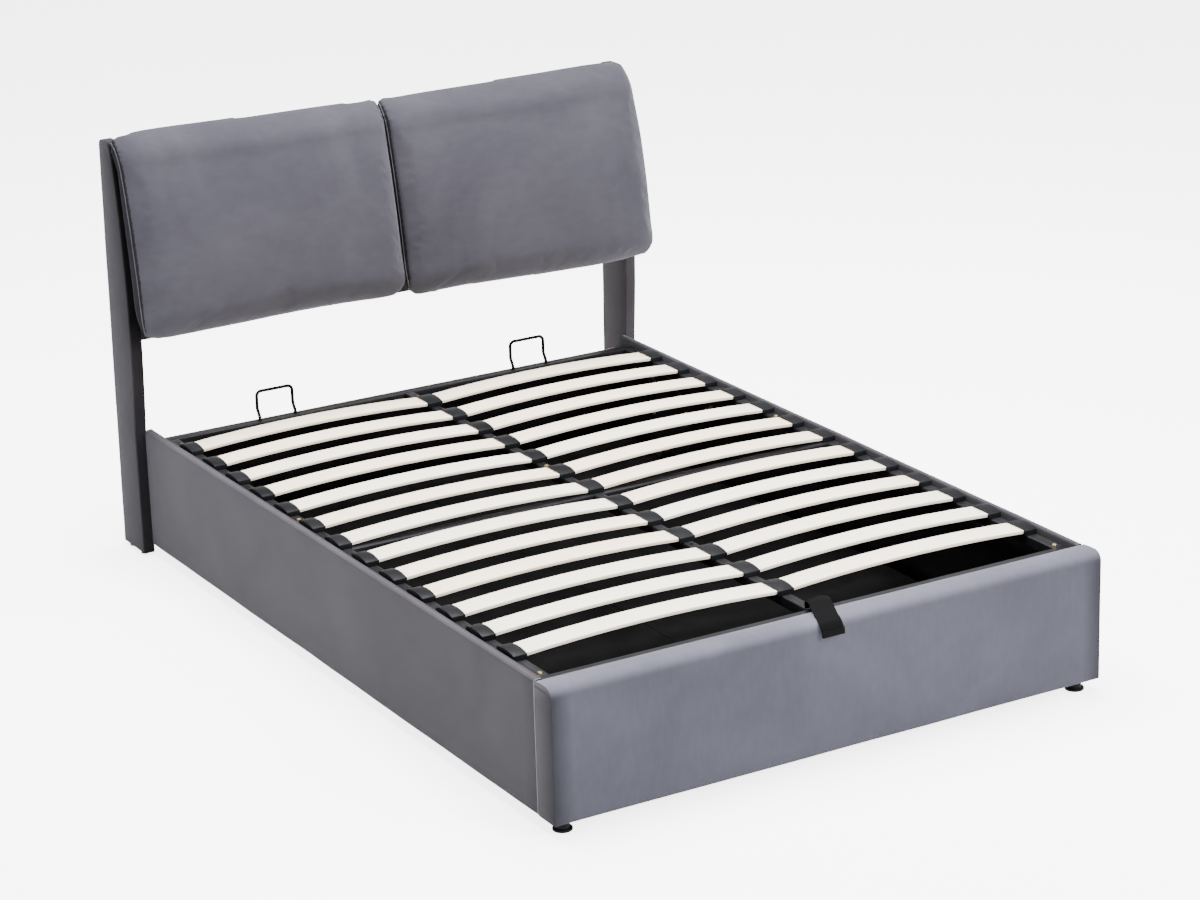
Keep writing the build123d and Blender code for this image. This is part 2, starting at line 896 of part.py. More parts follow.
# Hinge pin and lower strut stud, riveted into each lift plate
with BuildPart() as lift_pins:
    collar_end = hinge_plate_outer + fit_gap
    head_start = hinge_plate_inner - fit_gap
    stepped_pin(
        [
            (side_lining_face, lift_plate_inner, hinge_pin, bolt_sides),
            (lift_plate_inner, collar_end, hinge_collar, glide_sides),
            (collar_end, head_start, hinge_pin, 0),
            (head_start, head_start - hinge_head_thickness, hinge_head, glide_sides),
        ],
        hinge_y,
        hinge_z,
    )
    eye_outer = strut_middle + eye_width / 2 + fit_gap
    eye_inner = strut_middle - eye_width / 2 - fit_gap
    stepped_pin(
        [
            (side_lining_face, lift_plate_inner, stud, bolt_sides),
            (lift_plate_inner, eye_outer, stud_washer, glide_sides),
            (eye_outer, eye_inner, stud, 0),
            (eye_inner, eye_inner - stud_washer_thickness, stud_washer, glide_sides),
        ],
        base_stud_y,
        base_stud_z,
    )
save_pair(lift_pins, "lift_pins")


def cross_tube(y):
    """Tube across the whole platform, closed and rounded at its two ends."""
    with BuildPart() as piece:
        with BuildSketch(along(-frame_half)):
            with Locations((y + tube_width / 2, steel_middle)):
                tube_face(tube_width, tube_height, wall=0)
        extrude(amount=2 * frame_half)
        with BuildSketch(level(steel_low)) as plan:
            slab((-frame_half, y), (frame_half, y + tube_width))
            outer_y = y if y < 0 else y + tube_width
            fillet(plan.vertices().filter_by_position(Axis.Y, outer_y, outer_y), frame_corner)
        extrude(amount=tube_height, mode=Mode.INTERSECT)
        box_between(
            (-frame_half + frame_corner, y + tube_wall, steel_low + tube_wall),
            (frame_half - frame_corner, y + tube_width - tube_wall, steel_top - tube_wall),
            mode=Mode.SUBTRACT,
        )
    return piece


# Head rail of the platform, with the holes of the mattress loops
loop_place = frame_half - loop_set
loop_feet = [
    (side * loop_place + foot * (loop_half + loop_kink), frame_back - tube_width / 2)
    for side in (-1, 1)
    for foot in (-1, 1)
]
head_tube = cross_tube(frame_back - tube_width)
with BuildPart() as head_rail:
    add(head_tube.part)
    drill(level(steel_top - loop_root), loop_feet, loop_wire + 2 * pin_gap, loop_root)
save(head_rail, "platform_head_tube")

# Foot rail of the platform, with two threaded studs' holes in its inner wall
foot_stud_place = frame_half - foot_stud_set
foot_stud_places = [(side * foot_stud_place, steel_middle) for side in (-1, 1)]
foot_tube = cross_tube(frame_front)
with BuildPart() as foot_rail:
    add(foot_tube.part)
    drill(across(rail_start), foot_stud_places, steel_bolt + 2 * hole_gap, tube_wall)
save(foot_rail, "platform_foot_tube")

# Long rails of the platform, each in two lengths, with bolt holes in their upper walls
head_bolt_y = rail_end - head_bolt_set
foot_bolt_y = rail_start + foot_bolt_set
steel_hole = steel_bolt + 2 * hole_gap


def long_tube(x, width, start, end, bolt_places):
    """Length of tube along the platform, with holes in its upper wall."""
    with BuildPart() as piece:
        with BuildSketch(across(end)):
            with Locations((x, steel_middle)):
                tube_face(width, tube_height)
        extrude(amount=end - start)
        drill(level(steel_top - tube_wall), [(x, y) for y in bolt_places], steel_hole, tube_wall)
    return piece


foot_part_bolts = [foot_bolt_y, rail_split - sleeve_bolt_set]
head_part_bolts = [rail_split + sleeve_bolt_set, head_bolt_y]
save_pair(
    long_tube(side_tube_middle, tube_width, rail_start, rail_split, foot_part_bolts),
    "side_tube_foot",
)
save_pair(
    long_tube(side_tube_middle, tube_width, rail_split, rail_end, head_part_bolts),
    "side_tube_head",
)
save(long_tube(0, centre_width, rail_split, rail_end, head_part_bolts), "centre_tube_head")
centre_foot_tube = long_tube(0, centre_width, rail_start, rail_split, foot_part_bolts)
with BuildPart() as drilled_centre:
    add(centre_foot_tube.part)
    drill(
        level(steel_top - tube_wall),
        [(0, foot_face + centre_hole_place)],
        centre_hole,
        tube_wall,
    )
save(drilled_centre, "centre_tube_foot")

# Two flush bars across the platform, welded between the side rails and the centre rail
with BuildPart() as cross_bars:
    with BuildSketch(along(centre_width / 2)):
        with Locations((rail_split - cross_bar_set, steel_middle)):
            tube_face(tube_width, tube_height)
    extrude(amount=side_tube_inner - centre_width / 2)
    mirror(about=Plane.YZ)
save(cross_bars, "cross_bars")

# Inner sleeves: spigots at the head and foot corners, and long sleeves at the rail joints
with BuildPart() as sleeves:
    for x, width in ((-side_tube_middle, tube_width), (0, centre_width), (side_tube_middle, tube_width)):
        for start, end in (
            (rail_start, rail_start + spigot_length),
            (rail_split - sleeve_length / 2, rail_split + sleeve_length / 2),
            (rail_end - spigot_length, rail_end),
        ):
            inner_width = width - 2 * tube_wall - 2 * sleeve_gap
            inner_height = tube_height - 2 * tube_wall - 2 * sleeve_gap
            with BuildSketch(across(end)):
                with Locations((x, steel_middle)):
                    Rectangle(inner_width, inner_height)
                    Rectangle(
                        inner_width - 2 * tube_wall,
                        inner_height - 2 * tube_wall,
                        mode=Mode.SUBTRACT,
                    )
            extrude(amount=end - start)
    sleeve_top = steel_top - tube_wall - sleeve_gap
    drill(
        level(sleeve_top - tube_wall),
        [
            (x, y)
            for x in (-side_tube_middle, 0, side_tube_middle)
            for y in foot_part_bolts + head_part_bolts
        ],
        steel_hole,
        tube_wall,
    )
save(sleeves, "tube_sleeves")

# Domed bolts on top of the rails, and the nuts and washers inside the foot rail
with BuildPart() as steel_bolts:
    top_bolt = domed_bolt(steel_bolt, steel_bolt_length, steel_bolt_head, steel_bolt_dome)
    with Locations(
        *[
            Location((x, y, steel_top))
            for x in (-side_tube_middle, 0, side_tube_middle)
            for y in foot_part_bolts + head_part_bolts
        ],
    ):
        add(top_bolt)
    with BuildSketch(across(rail_start)):
        with Locations(*foot_stud_places):
            RegularPolygon(steel_washer / 2, glide_sides)
    extrude(amount=-steel_washer_thickness)
    with BuildSketch(across(rail_start + steel_washer_thickness)):
        with Locations(*foot_stud_places):
            RegularPolygon(steel_nut / 2, 6, major_radius=False)
    extrude(amount=-steel_nut_height)
    with BuildSketch(across(rail_start - steel_bolt_length)):
        with Locations(*foot_stud_places):
            RegularPolygon(steel_bolt / 2, bolt_sides)
    extrude(amount=-(steel_bolt_length + foot_stud_length))
save(steel_bolts, "platform_bolts")

# Sprung slats: thirteen rows of two bowed slats
slat_start = first_row + slat_width / 2
slat_count = int((rail_end - slat_width / 2 - slat_start) / slat_pitch) + 1
slat_places = [slat_start + number * slat_pitch for number in range(slat_count)]
holder_low = frame_half - holder_reach
slat_outer = holder_low + holder_socket - slat_end_gap
slat_inner = centre_web_half + slat_end_gap
slat_low = steel_top + slat_seat
slat_mid = (slat_inner + slat_outer) / 2
with BuildPart() as slats:
    with BuildSketch(*[across(y + slat_width / 2) for y in slat_places]):
        with BuildLine():
            underside = ThreePointArc(
                (slat_inner, slat_low), (slat_mid, slat_low + slat_bow), (slat_outer, slat_low)
            )
            right_end = Line(underside @ 1, (slat_outer, slat_low + slat_thickness))
            upper = ThreePointArc(
                right_end @ 1,
                (slat_mid, slat_low + slat_bow + slat_thickness),
                (slat_inner, slat_low + slat_thickness),
            )
            Line(upper @ 1, underside @ 0)
        make_face()
    extrude(amount=slat_width)
save_pair(slats, "slats")


def arch(half, side, crown):
    """Flat-bottomed outline with an arched top, standing on the local x axis."""
    with BuildSketch() as outline:
        with BuildLine():
            base = Line((-half, 0), (half, 0))
            cheek = Line(base @ 1, (half, side))
            cap = ThreePointArc(cheek @ 1, (0, side + crown), (-half, side))
            Line(cap @ 1, base @ 0)
        make_face()
    return outline.sketch


# Moulded holders of the slats, with an arched cap over each socket
holder_half = slat_width / 2 + slat_play + holder_wall
socket_half = slat_width / 2 + slat_play
socket_floor = slat_seat - slat_play / 5
arch_share = 1 - (socket_half / holder_half) ** 2
socket_corner = holder_side + holder_crown * arch_share - holder_cap_edge
socket_side = socket_corner - socket_floor
socket_crown = holder_side + holder_crown - holder_cap - socket_corner
holder_face = arch(holder_half, holder_side, holder_crown)
socket_face = arch(socket_half, socket_side, socket_crown)
with BuildPart() as side_holders:
    with BuildSketch(along(holder_low)):
        with Locations(*[(y, steel_top) for y in slat_places]):
            add(holder_face)
    extrude(amount=holder_reach)
    with BuildSketch(along(holder_low)):
        with Locations(*[(y, steel_top + socket_floor) for y in slat_places]):
            add(socket_face)
    extrude(amount=holder_socket, mode=Mode.SUBTRACT)
save_pair(side_holders, "side_holders")

with BuildPart() as centre_holders:
    with BuildSketch(along(-centre_holder_half)):
        with Locations(*[(y, steel_top) for y in slat_places]):
            add(holder_face)
    extrude(amount=2 * centre_holder_half)
    for start in (-centre_holder_half, centre_web_half):
        with BuildSketch(along(start)):
            with Locations(*[(y, steel_top + socket_floor) for y in slat_places]):
                add(socket_face)
        extrude(amount=centre_holder_half - centre_web_half, mode=Mode.SUBTRACT)
save(centre_holders, "centre_holders")

# Bent wire loops that hold the mattress, planted in the head rail
loop_y = frame_back - tube_width / 2
loop_foot = loop_half + loop_kink
with BuildLine(across(loop_y)) as loop_line:
    FilletPolyline(
        (loop_place - loop_foot, steel_top - loop_root),
        (loop_place - loop_foot, steel_top + loop_kink_height / 2),
        (loop_place - loop_half, steel_top + loop_kink_height * 1.6),
        (loop_place - loop_half, steel_top + loop_height - loop_wire / 2),
        (loop_place + loop_half, steel_top + loop_height - loop_wire / 2),
        (loop_place + loop_half, steel_top + loop_kink_height * 1.6),
        (loop_place + loop_foot, steel_top + loop_kink_height / 2),
        (loop_place + loop_foot, steel_top - loop_root),
        radius=[
            loop_kink_round,
            loop_kink_round,
            loop_round,
            loop_round,
            loop_kink_round,
            loop_kink_round,
        ],
    )
loop_corners = [
    edge @ (step / bend_sides)
    for edge in loop_line.wire().edges()
    for step in range(1 if edge.geom_type == GeomType.LINE else bend_sides)
]
with BuildPart() as loop:
    with BuildLine() as loop_path:
        Polyline(*loop_corners, loop_line.wire() @ 1)
    with BuildSketch(Plane(origin=loop_path.line @ 0, z_dir=loop_path.line % 0)):
        RegularPolygon(loop_wire / 2, bolt_sides)
    sweep(transition=Transition.RIGHT)
save_pair(loop, "mattress_loop")

# Pull strap: from the foot rail, over the footboard and down its front to a folded end
strap_bend = foot_round + strap_clear
bend_y = foot_face + foot_round
bend_z = rail_top - foot_round
slope = cos(radians(45))


def strap_layer(lift):
    """Points of the strap's side view at a distance above its lower face."""
    radius = strap_bend + lift
    return [
        (rail_start, steel_top + lift),
        (frame_front + tube_width / 3, steel_top + lift),
        (foot_back - foot_back_round / 3, rail_top + strap_clear + lift),
        (bend_y, rail_top + strap_clear + lift),
        (bend_y - radius * slope, bend_z + radius * slope),
        (bend_y - radius, bend_z),
        (bend_y - radius, rail_top - strap_hang),
    ]


with BuildPart() as strap:
    with BuildSketch(along(-strap_width / 2)):
        with BuildLine():
            under = strap_layer(0)
            over = strap_layer(strap_thickness)
            hem = strap_layer(2 * strap_thickness)
            Polyline(*under[:4])
            ThreePointArc(*under[3:6])
            Polyline(
                under[5],
                under[6],
                hem[6],
                (hem[6][0], hem[6][1] + strap_hem),
                (over[6][0], over[6][1] + strap_hem),
                over[5],
            )
            ThreePointArc(*over[5:2:-1])
            Polyline(*over[3::-1], under[0])
        make_face()
    extrude(amount=strap_width)
save(strap, "pull_strap")


def hung_plate(y, z, length, boss, hole):
    """Plate welded under a side rail, tapering down to a boss around a hole."""
    with BuildPart() as piece:
        with BuildSketch(along(hinge_plate_inner)):
            with BuildLine():
                Polyline(
                    (y - length / 2, steel_low),
                    (y - boss / 2, z),
                    (y + boss / 2, z),
                    (y + length / 2, steel_low),
                    close=True,
                )
            make_face()
            with Locations((y, z)):
                Circle(boss / 2)
        extrude(amount=plate_thickness)
        if hole:
            drill(along(hinge_plate_inner), [(y, z)], hole, plate_thickness, sides=0)
    return piece


# Hinge plates under the platform's side rails
hinge_plate = hung_plate(
    hinge_y, hinge_z, hinge_plate_length, hinge_boss, hinge_pin + 2 * pin_gap
)
save_pair(hinge_plate, "hinge_plate")

# Strut brackets under the platform's side rails, each with its stud and clip
bracket_plate = hung_plate(top_stud_y, top_stud_z, bracket_length, bracket_boss, 0)
with BuildPart() as bracket:
    add(bracket_plate.part)
    stepped_pin(
        [
            (hinge_plate_inner, eye_outer, stud_collar, glide_sides),
            (eye_outer, eye_inner, stud, 0),
            (eye_inner, eye_inner - stud_clip_thickness, stud_clip, glide_sides),
        ],
        top_stud_y,
        top_stud_z,
    )
save_pair(bracket, "strut_bracket")

# Gas struts. Each is laid out along the line from its upper stud to its lower one.
strut_rise = base_stud_z - top_stud_z
strut_run = base_stud_y - top_stud_y
strut_length = hypot(strut_run, strut_rise)
strut_dir = (0, strut_run / strut_length, strut_rise / strut_length)
strut_plane = Plane(
    origin=(strut_middle, top_stud_y, top_stud_z), x_dir=strut_dir, z_dir=(1, 0, 0)
)
eye_radius = stud / 2 + pin_gap
open_eye_radius = stud / 2 + open_eye_play
neck_start = eye_radius + eye_wall * 0.7
tube_start = eye_radius + eye_wall + strut_neck_length
tube_end = tube_start + strut_tube_length
bore = strut_tube / 2 - strut_tube_wall


def strut_step(start, end, diameter, sides=0, mode=Mode.ADD):
    """Length of a strut between two distances from its upper stud; zero sides is round."""
    with BuildSketch(Plane(origin=strut_plane.from_local_coords((start, 0, 0)), z_dir=strut_dir)) as face:
        if sides:
            RegularPolygon(diameter / 2, sides)
        else:
            Circle(diameter / 2)
    extrude(face.sketch, amount=end - start, mode=mode)


def eye(place, radius):
    """Eye of a strut, with its bore across the bed."""
    with BuildSketch(strut_plane.offset(-eye_width / 2)) as ring:
        with Locations((place, 0)):
            RegularPolygon(radius + eye_wall, 2 * glide_sides)
    extrude(ring.sketch, amount=eye_width)
    with BuildSketch(strut_plane.offset(-eye_width / 2)) as hole:
        with Locations((place, 0)):
            Circle(radius)
    extrude(hole.sketch, amount=eye_width, mode=Mode.SUBTRACT)


# The tube is hollow behind its end, where the piston slides
with BuildPart() as strut_cylinder:
    strut_step(neck_start, tube_start, strut_neck, sides=glide_sides)
    strut_step(tube_start, tube_end, strut_tube)
    strut_step(
        tube_start + strut_tube_end,
        tube_end - strut_tube_end,
        2 * bore,
        sides=glide_sides,
        mode=Mode.SUBTRACT,
    )
    strut_step(tube_end - strut_tube_end, tube_end, strut_rod + 2 * rod_gap, mode=Mode.SUBTRACT)
    eye(0, eye_radius)
save_pair(strut_cylinder, "strut_tube")

rod_end = strut_length - open_eye_radius - eye_wall * 0.3
with BuildPart() as strut_piston:
    strut_step(piston_place, piston_place + piston_length, 2 * (bore - rod_gap), sides=glide_sides)
    strut_step(piston_place + piston_length, rod_end, strut_rod)
    eye(strut_length, open_eye_radius)
save_pair(strut_piston, "strut_rod")

lift = radians(lift_angle)
print("hinge", hinge_y, hinge_z, "lower stud", base_stud_y, base_stud_z)
print("upper stud", top_stud_y, top_stud_z, "strut", strut_length, "lift", degrees(lift))
print("strut angle", degrees(atan2(strut_rise, strut_run)), "shift", sin(lift))
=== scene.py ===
"""Ottoman bed: grey velvet frame with two headboard cushions over a lifting slatted platform.

Metres, +Z up, X across the bed, +Y towards the head. Each section below dresses one piece
or one group of like pieces, in the order in which the bed is put together.
"""

import math

import bmesh
import bpy
from mathutils import Matrix, Vector, noise
from mathutils.bvhtree import BVHTree


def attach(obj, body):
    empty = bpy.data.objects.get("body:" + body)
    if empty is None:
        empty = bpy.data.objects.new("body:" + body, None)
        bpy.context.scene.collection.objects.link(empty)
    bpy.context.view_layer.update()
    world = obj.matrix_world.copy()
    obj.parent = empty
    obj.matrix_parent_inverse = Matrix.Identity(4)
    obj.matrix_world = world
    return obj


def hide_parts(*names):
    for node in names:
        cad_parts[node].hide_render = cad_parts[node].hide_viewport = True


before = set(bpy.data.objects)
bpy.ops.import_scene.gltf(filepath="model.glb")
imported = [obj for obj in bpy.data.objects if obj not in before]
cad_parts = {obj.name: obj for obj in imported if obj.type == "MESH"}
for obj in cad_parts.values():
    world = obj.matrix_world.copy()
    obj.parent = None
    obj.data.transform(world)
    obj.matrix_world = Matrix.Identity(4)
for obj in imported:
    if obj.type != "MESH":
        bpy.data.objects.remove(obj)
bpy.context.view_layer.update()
scene = bpy.context.scene
mm = 0.001

# Studio: a plain pale floor, white air, three soft lamps and the camera, which stands to
# the left of the foot end, above eye height and far off, with a long lens.
floor_half = 40.0
seen_glow, lit_glow = 3.2, 0.8
lamps = (
    ("lamp_front", (2.5, -5.2, 3.4), (0.0, -0.6, 0.3), 3.0, 560.0),
    ("lamp_side", (-5.5, 0.5, 3.0), (0.0, 0.3, 0.5), 3.0, 30.0),
    ("lamp_top", (0.0, 0.3, 5.0), (0.0, 0.0, 0.0), 3.5, 980.0),
)
camera_angles = (30.112, 18.708, -1.655)
camera_place, camera_length = (-3.9815, -6.96085, 3.1349), 104.229


def srgb(red, green, blue):
    """Linear colour from a screen colour of 0 to 255."""
    channels = []
    for value in (red / 255, green / 255, blue / 255):
        channels.append(value / 12.92 if value <= 0.04045 else ((value + 0.055) / 1.055) ** 2.4)
    return (*channels, 1.0)


def new_piece(name, form, crease=40):
    """Object of a finished form, with smooth faces and sharp edges beyond an angle."""
    mesh = bpy.data.meshes.new(name)
    form.to_mesh(mesh)
    form.free()
    mesh.shade_smooth()
    mesh.set_sharp_from_angle(angle=math.radians(crease))
    piece = bpy.data.objects.new(name, mesh)
    scene.collection.objects.link(piece)
    return piece


def new_finish(name, roughness, specular):
    """Material with its shader, ready for its own nodes."""
    finish = bpy.data.materials.new(name)
    finish.use_nodes = True
    shader = finish.node_tree.nodes["Principled BSDF"]
    shader.inputs["Roughness"].default_value = roughness
    shader.inputs["Specular IOR Level"].default_value = specular
    return finish, finish.node_tree, shader


def add_node(tree, kind, values=None, **settings):
    """Shader node of a kind, with its settings and its sockets' values."""
    node = tree.nodes.new(f"ShaderNode{kind}")
    for key, value in settings.items():
        setattr(node, key, value)
    for key, value in (values or {}).items():
        node.inputs[key].default_value = value
    return node


def connect(tree, *links):
    """Join nodes of a tree, each link as (node, output, node, input)."""
    for giver, output, taker, socket in links:
        tree.links.new(giver.outputs[output], taker.inputs[socket])


floor_form = bmesh.new()
bmesh.ops.create_grid(floor_form, x_segments=1, y_segments=1, size=floor_half)
floor = new_piece("studio_floor", floor_form)
floor_finish, floor_tree, paper = new_finish("studio_paper", 0.95, 0.05)
paper.inputs["Base Color"].default_value = (0.93, 0.93, 0.93, 1.0)
paper.inputs["Emission Color"].default_value = (1.0, 1.0, 1.0, 1.0)
seen = add_node(floor_tree, "LightPath")
glow = add_node(floor_tree, "Math", {1: seen_glow, 2: lit_glow}, operation="MULTIPLY_ADD")
connect(floor_tree, (seen, "Is Camera Ray", glow, 0), (glow, "Value", paper, "Emission Strength"))
floor.data.materials.append(floor_finish)

air = bpy.data.worlds.new("studio_air")
air.use_nodes = True
air.node_tree.nodes["Background"].inputs["Color"].default_value = (1.0, 1.0, 1.0, 1.0)
air.node_tree.nodes["Background"].inputs["Strength"].default_value = 0.85
scene.world = air

for name, place, target, size, power in lamps:
    light = bpy.data.lights.new(name, "AREA")
    light.shape = "SQUARE"
    light.size = size
    light.energy = power
    lamp = bpy.data.objects.new(name, light)
    scene.collection.objects.link(lamp)
    aim = (Vector(target) - Vector(place)).to_track_quat("-Z", "Y").to_matrix().to_4x4()
    lamp.matrix_world = Matrix.Translation(place) @ aim

camera_turn, camera_tip, camera_roll = (math.radians(angle) for angle in camera_angles)
camera_axes = (
    Matrix.Rotation(-camera_turn, 4, "Z") @ Matrix.Rotation(math.pi / 2 - camera_tip, 4, "X")
    @ Matrix.Rotation(camera_roll, 4, "Z")
)
lens = bpy.data.cameras.new("studio_camera")
lens.sensor_width = 36.0
lens.lens = camera_length
lens.clip_end = 200.0
camera = bpy.data.objects.new("studio_camera", lens)
camera.matrix_world = Matrix.Translation(camera_place) @ camera_axes
scene.collection.objects.link(camera)
scene.camera = camera

# Timber boards and battens: pine and board inside the padding, screwed together. They show
# on the underside, and inside the well when the platform is up.
all_given = ("Colour", "Roughness", "Height")


def new_group(name, colours, numbers=None, stretch=None, given=all_given):
    """Empty shader group with its colours, numbers and stretch in, and its results out."""
    group = bpy.data.node_groups.new(name, "ShaderNodeTree")
    wanted = [(label, "NodeSocketColor", (1, 1, 1, 1)) for label in colours]
    wanted += [(label, "NodeSocketFloat", value) for label, value in (numbers or {}).items()]
    if stretch:
        wanted.append((stretch, "NodeSocketVector", (1, 1, 1)))
    for label, kind, value in wanted:
        socket = group.interface.new_socket(label, in_out="INPUT", socket_type=kind)
        socket.default_value = value
    for label in given:
        kind = "NodeSocketColor" if label == "Colour" else "NodeSocketFloat"
        group.interface.new_socket(label, in_out="OUTPUT", socket_type=kind)
    return group, group.nodes.new("NodeGroupInput"), group.nodes.new("NodeGroupOutput")


# The grain runs along one axis of the board: long soft streaks with finer pores in them
grain_group, grain_in, grain_out = new_group(
    "timber_grain", ("Pale", "Dark"), stretch="Stretch", given=("Colour", "Height")
)
place = add_node(grain_group, "TexCoord")
along = add_node(grain_group, "VectorMath", operation="MULTIPLY")
streaks = add_node(grain_group, "TexNoise", {"Scale": 9.0, "Detail": 5.0, "Distortion": 0.7})
pores = add_node(grain_group, "TexNoise", {"Scale": 160.0, "Detail": 2.0})
tone = add_node(grain_group, "MapRange", {"From Min": 0.32, "From Max": 0.72})
shade = add_node(grain_group, "Mix", data_type="RGBA")
connect(
    grain_group,
    (place, "Object", along, 0),
    (grain_in, "Stretch", along, 1),
    (along, "Vector", streaks, "Vector"),
    (along, "Vector", pores, "Vector"),
    (streaks, "Fac", tone, "Value"),
    (tone, "Result", shade, "Factor"),
    (grain_in, "Pale", shade, "A"),
    (grain_in, "Dark", shade, "B"),
    (shade, "Result", grain_out, "Colour"),
    (pores, "Fac", grain_out, "Height"),
)


def grouped_finish(name, roughness, specular, group, values, strength, depth):
    """Material whose colour, relief and, where it gives one, roughness come from a group."""
    finish, tree, shader = new_finish(name, roughness, specular)
    surface = add_node(tree, "Group", values, node_tree=group)
    bump = add_node(tree, "Bump", {"Strength": strength, "Distance": depth})
    connect(
        tree,
        (surface, "Colour", shader, "Base Color"),
        (surface, "Height", bump, "Height"),
        (bump, "Normal", shader, "Normal"),
    )
    if "Roughness" in surface.outputs:
        connect(tree, (surface, "Roughness", shader, "Roughness"))
    return finish, shader


def timber_finish(name, pale, dark, stretch, roughness, bump):
    """Bare timber of two screen colours, its grain along the axis that is stretched least."""
    values = {"Pale": srgb(*pale), "Dark": srgb(*dark), "Stretch": stretch}
    return grouped_finish(name, roughness, 0.35, grain_group, values, bump, 0.0004)[0]


def finish_nodes(finish, *names):
    """Give CAD nodes a material."""
    for name in names:
        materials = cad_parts[name].data.materials
        materials.clear()
        materials.append(finish)


for name, stretch, nodes in (
    ("pine_along_bed", (12, 0.8, 12), (
        "side_rail_board_left", "side_rail_board_right", "side_bearers", "centre_bearer",
    )),
    ("pine_across_bed", (0.8, 12, 12), (
        "footboard_front_board", "footboard_back_board", "footboard_battens",
        "headboard_board", "head_end_board", "rest_batten",
    )),
    ("pine_upright", (12, 12, 0.8), ("post_core_left", "post_core_right")),
):
    pine = timber_finish(name, (206, 178, 138), (168, 132, 92), stretch, 0.6, 0.4)
    finish_nodes(pine, *nodes)

# Storage well: a floor of thin board, black on top, and black felt cloth stapled round its four
# walls. Steel angles and bolts hold the footboard to the side rails over the cloth.

# Made surfaces have soft patches in tone and gloss, with a fine grain in relief
made_group, made_in, made_out = new_group(
    "made_surface", ("Base", "Worn"), {"Grain": 600.0, "Gloss": 0.4, "Dull": 0.55}
)
place = add_node(made_group, "TexCoord")
patches = add_node(made_group, "TexNoise", {"Scale": 11.0, "Detail": 5.0, "Roughness": 0.6})
grain = add_node(made_group, "TexNoise", {"Detail": 2.0})
spread = add_node(made_group, "MapRange", {"From Min": 0.35, "From Max": 0.7})
shade = add_node(made_group, "Mix", data_type="RGBA")
gloss = add_node(made_group, "Mix", data_type="FLOAT")
connect(
    made_group,
    (place, "Object", patches, "Vector"),
    (place, "Object", grain, "Vector"),
    (made_in, "Grain", grain, "Scale"),
    (patches, "Fac", spread, "Value"),
    (spread, "Result", shade, "Factor"),
    (made_in, "Base", shade, "A"),
    (made_in, "Worn", shade, "B"),
    (spread, "Result", gloss, "Factor"),
    (made_in, "Gloss", gloss, "A"),
    (made_in, "Dull", gloss, "B"),
    (shade, "Result", made_out, "Colour"),
    (gloss, "Result", made_out, "Roughness"),
    (grain, "Fac", made_out, "Height"),
)


def made_finish(name, base, worn, grain, gloss, dull, relief, metal=0.0, specular=0.5):
    """Painted, plated, moulded or felted finish from two screen colours and its own grain."""
    values = {
        "Base": srgb(*base), "Worn": srgb(*worn), "Grain": grain, "Gloss": gloss, "Dull": dull,
    }
    finish, shader = grouped_finish(name, dull, specular, made_group, values, 0.5, relief)
    shader.inputs["Metallic"].default_value = metal
    return finish


board_black = made_finish(
    "black_board", (9, 9, 9), (20, 20, 21), 240.0, 0.75, 0.9, 0.0003, specular=0.04
)
finish_nodes(board_black, "floor_boards")
felt = made_finish("black_felt", (12, 12, 13), (22, 22, 25), 420.0, 0.9, 1.0, 0.0008, specular=0.05)
lining_half, lining_foot, lining_head = 0.7053, -1.0410, 1.0130
lining_low, lining_high = 0.0585, 0.2984
lining_strip, lining_sag = 0.04, 1.4 * mm
lining_form = bmesh.new()
lining_ring = [
    lining_form.verts.new((side * lining_half, y, lining_low))
    for side, y in ((-1, lining_foot), (1, lining_foot), (1, lining_head), (-1, lining_head))
]
ring_edges = [lining_form.edges.new((lining_ring[i - 1], lining_ring[i])) for i in range(4)]
raised = bmesh.ops.extrude_edge_only(lining_form, edges=ring_edges)["geom"]
bmesh.ops.translate(
    lining_form, verts=[item for item in raised if isinstance(item, bmesh.types.BMVert)],
    vec=(0, 0, lining_high - lining_low),
)


def cut_along(form, axis, low, high, spacing):
    """Cut a form into strips across an axis, so that it can be padded."""
    count = max(1, round((high - low) / spacing))
    normal = Vector([float(axis == index) for index in range(3)])
    for step in range(1, count):
        geometry = form.verts[:] + form.edges[:] + form.faces[:]
        where = normal * (low + (high - low) * step / count)
        bmesh.ops.bisect_plane(form, geom=geometry, plane_co=where, plane_no=normal, dist=1e-6)


def add_modifier(piece, name, kind, **settings):
    """Modifier of a piece with its settings."""
    modifier = piece.modifiers.new(name, kind)
    for key, value in settings.items():
        setattr(modifier, key, value)
    return modifier


def fitted(piece, body, node=None):
    """Put a piece on its body, in place of a CAD node where it has one."""
    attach(piece, body)
    if node:
        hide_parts(node)


cut_along(lining_form, 0, -lining_half, lining_half, lining_strip)
cut_along(lining_form, 1, lining_foot, lining_head, lining_strip)
cut_along(lining_form, 2, lining_low, lining_high, lining_strip)
for vert in lining_form.verts:
    sag = lining_sag * (0.5 + noise.noise(vert.co * 7.0))
    if abs(abs(vert.co.x) - lining_half) < mm:
        vert.co.x -= math.copysign(sag, vert.co.x)
    if min(vert.co.y - lining_foot, lining_head - vert.co.y) < mm:
        vert.co.y -= math.copysign(sag, vert.co.y)
bmesh.ops.recalc_face_normals(lining_form, faces=lining_form.faces)
lining = new_piece("well_lining", lining_form)
lining.data.materials.append(felt)
add_modifier(lining, "thickness", "SOLIDIFY", thickness=0.6 * mm, offset=0.0)
fitted(lining, "bed_frame", "storage_lining")

zinc = made_finish("zinc_plate", (196, 190, 176), (158, 150, 134), 900.0, 0.28, 0.42, 0.00012, 1.0)
brass_zinc = made_finish(
    "yellow_zinc", (206, 184, 128), (150, 132, 88), 900.0, 0.25, 0.4, 0.0001, 1.0
)


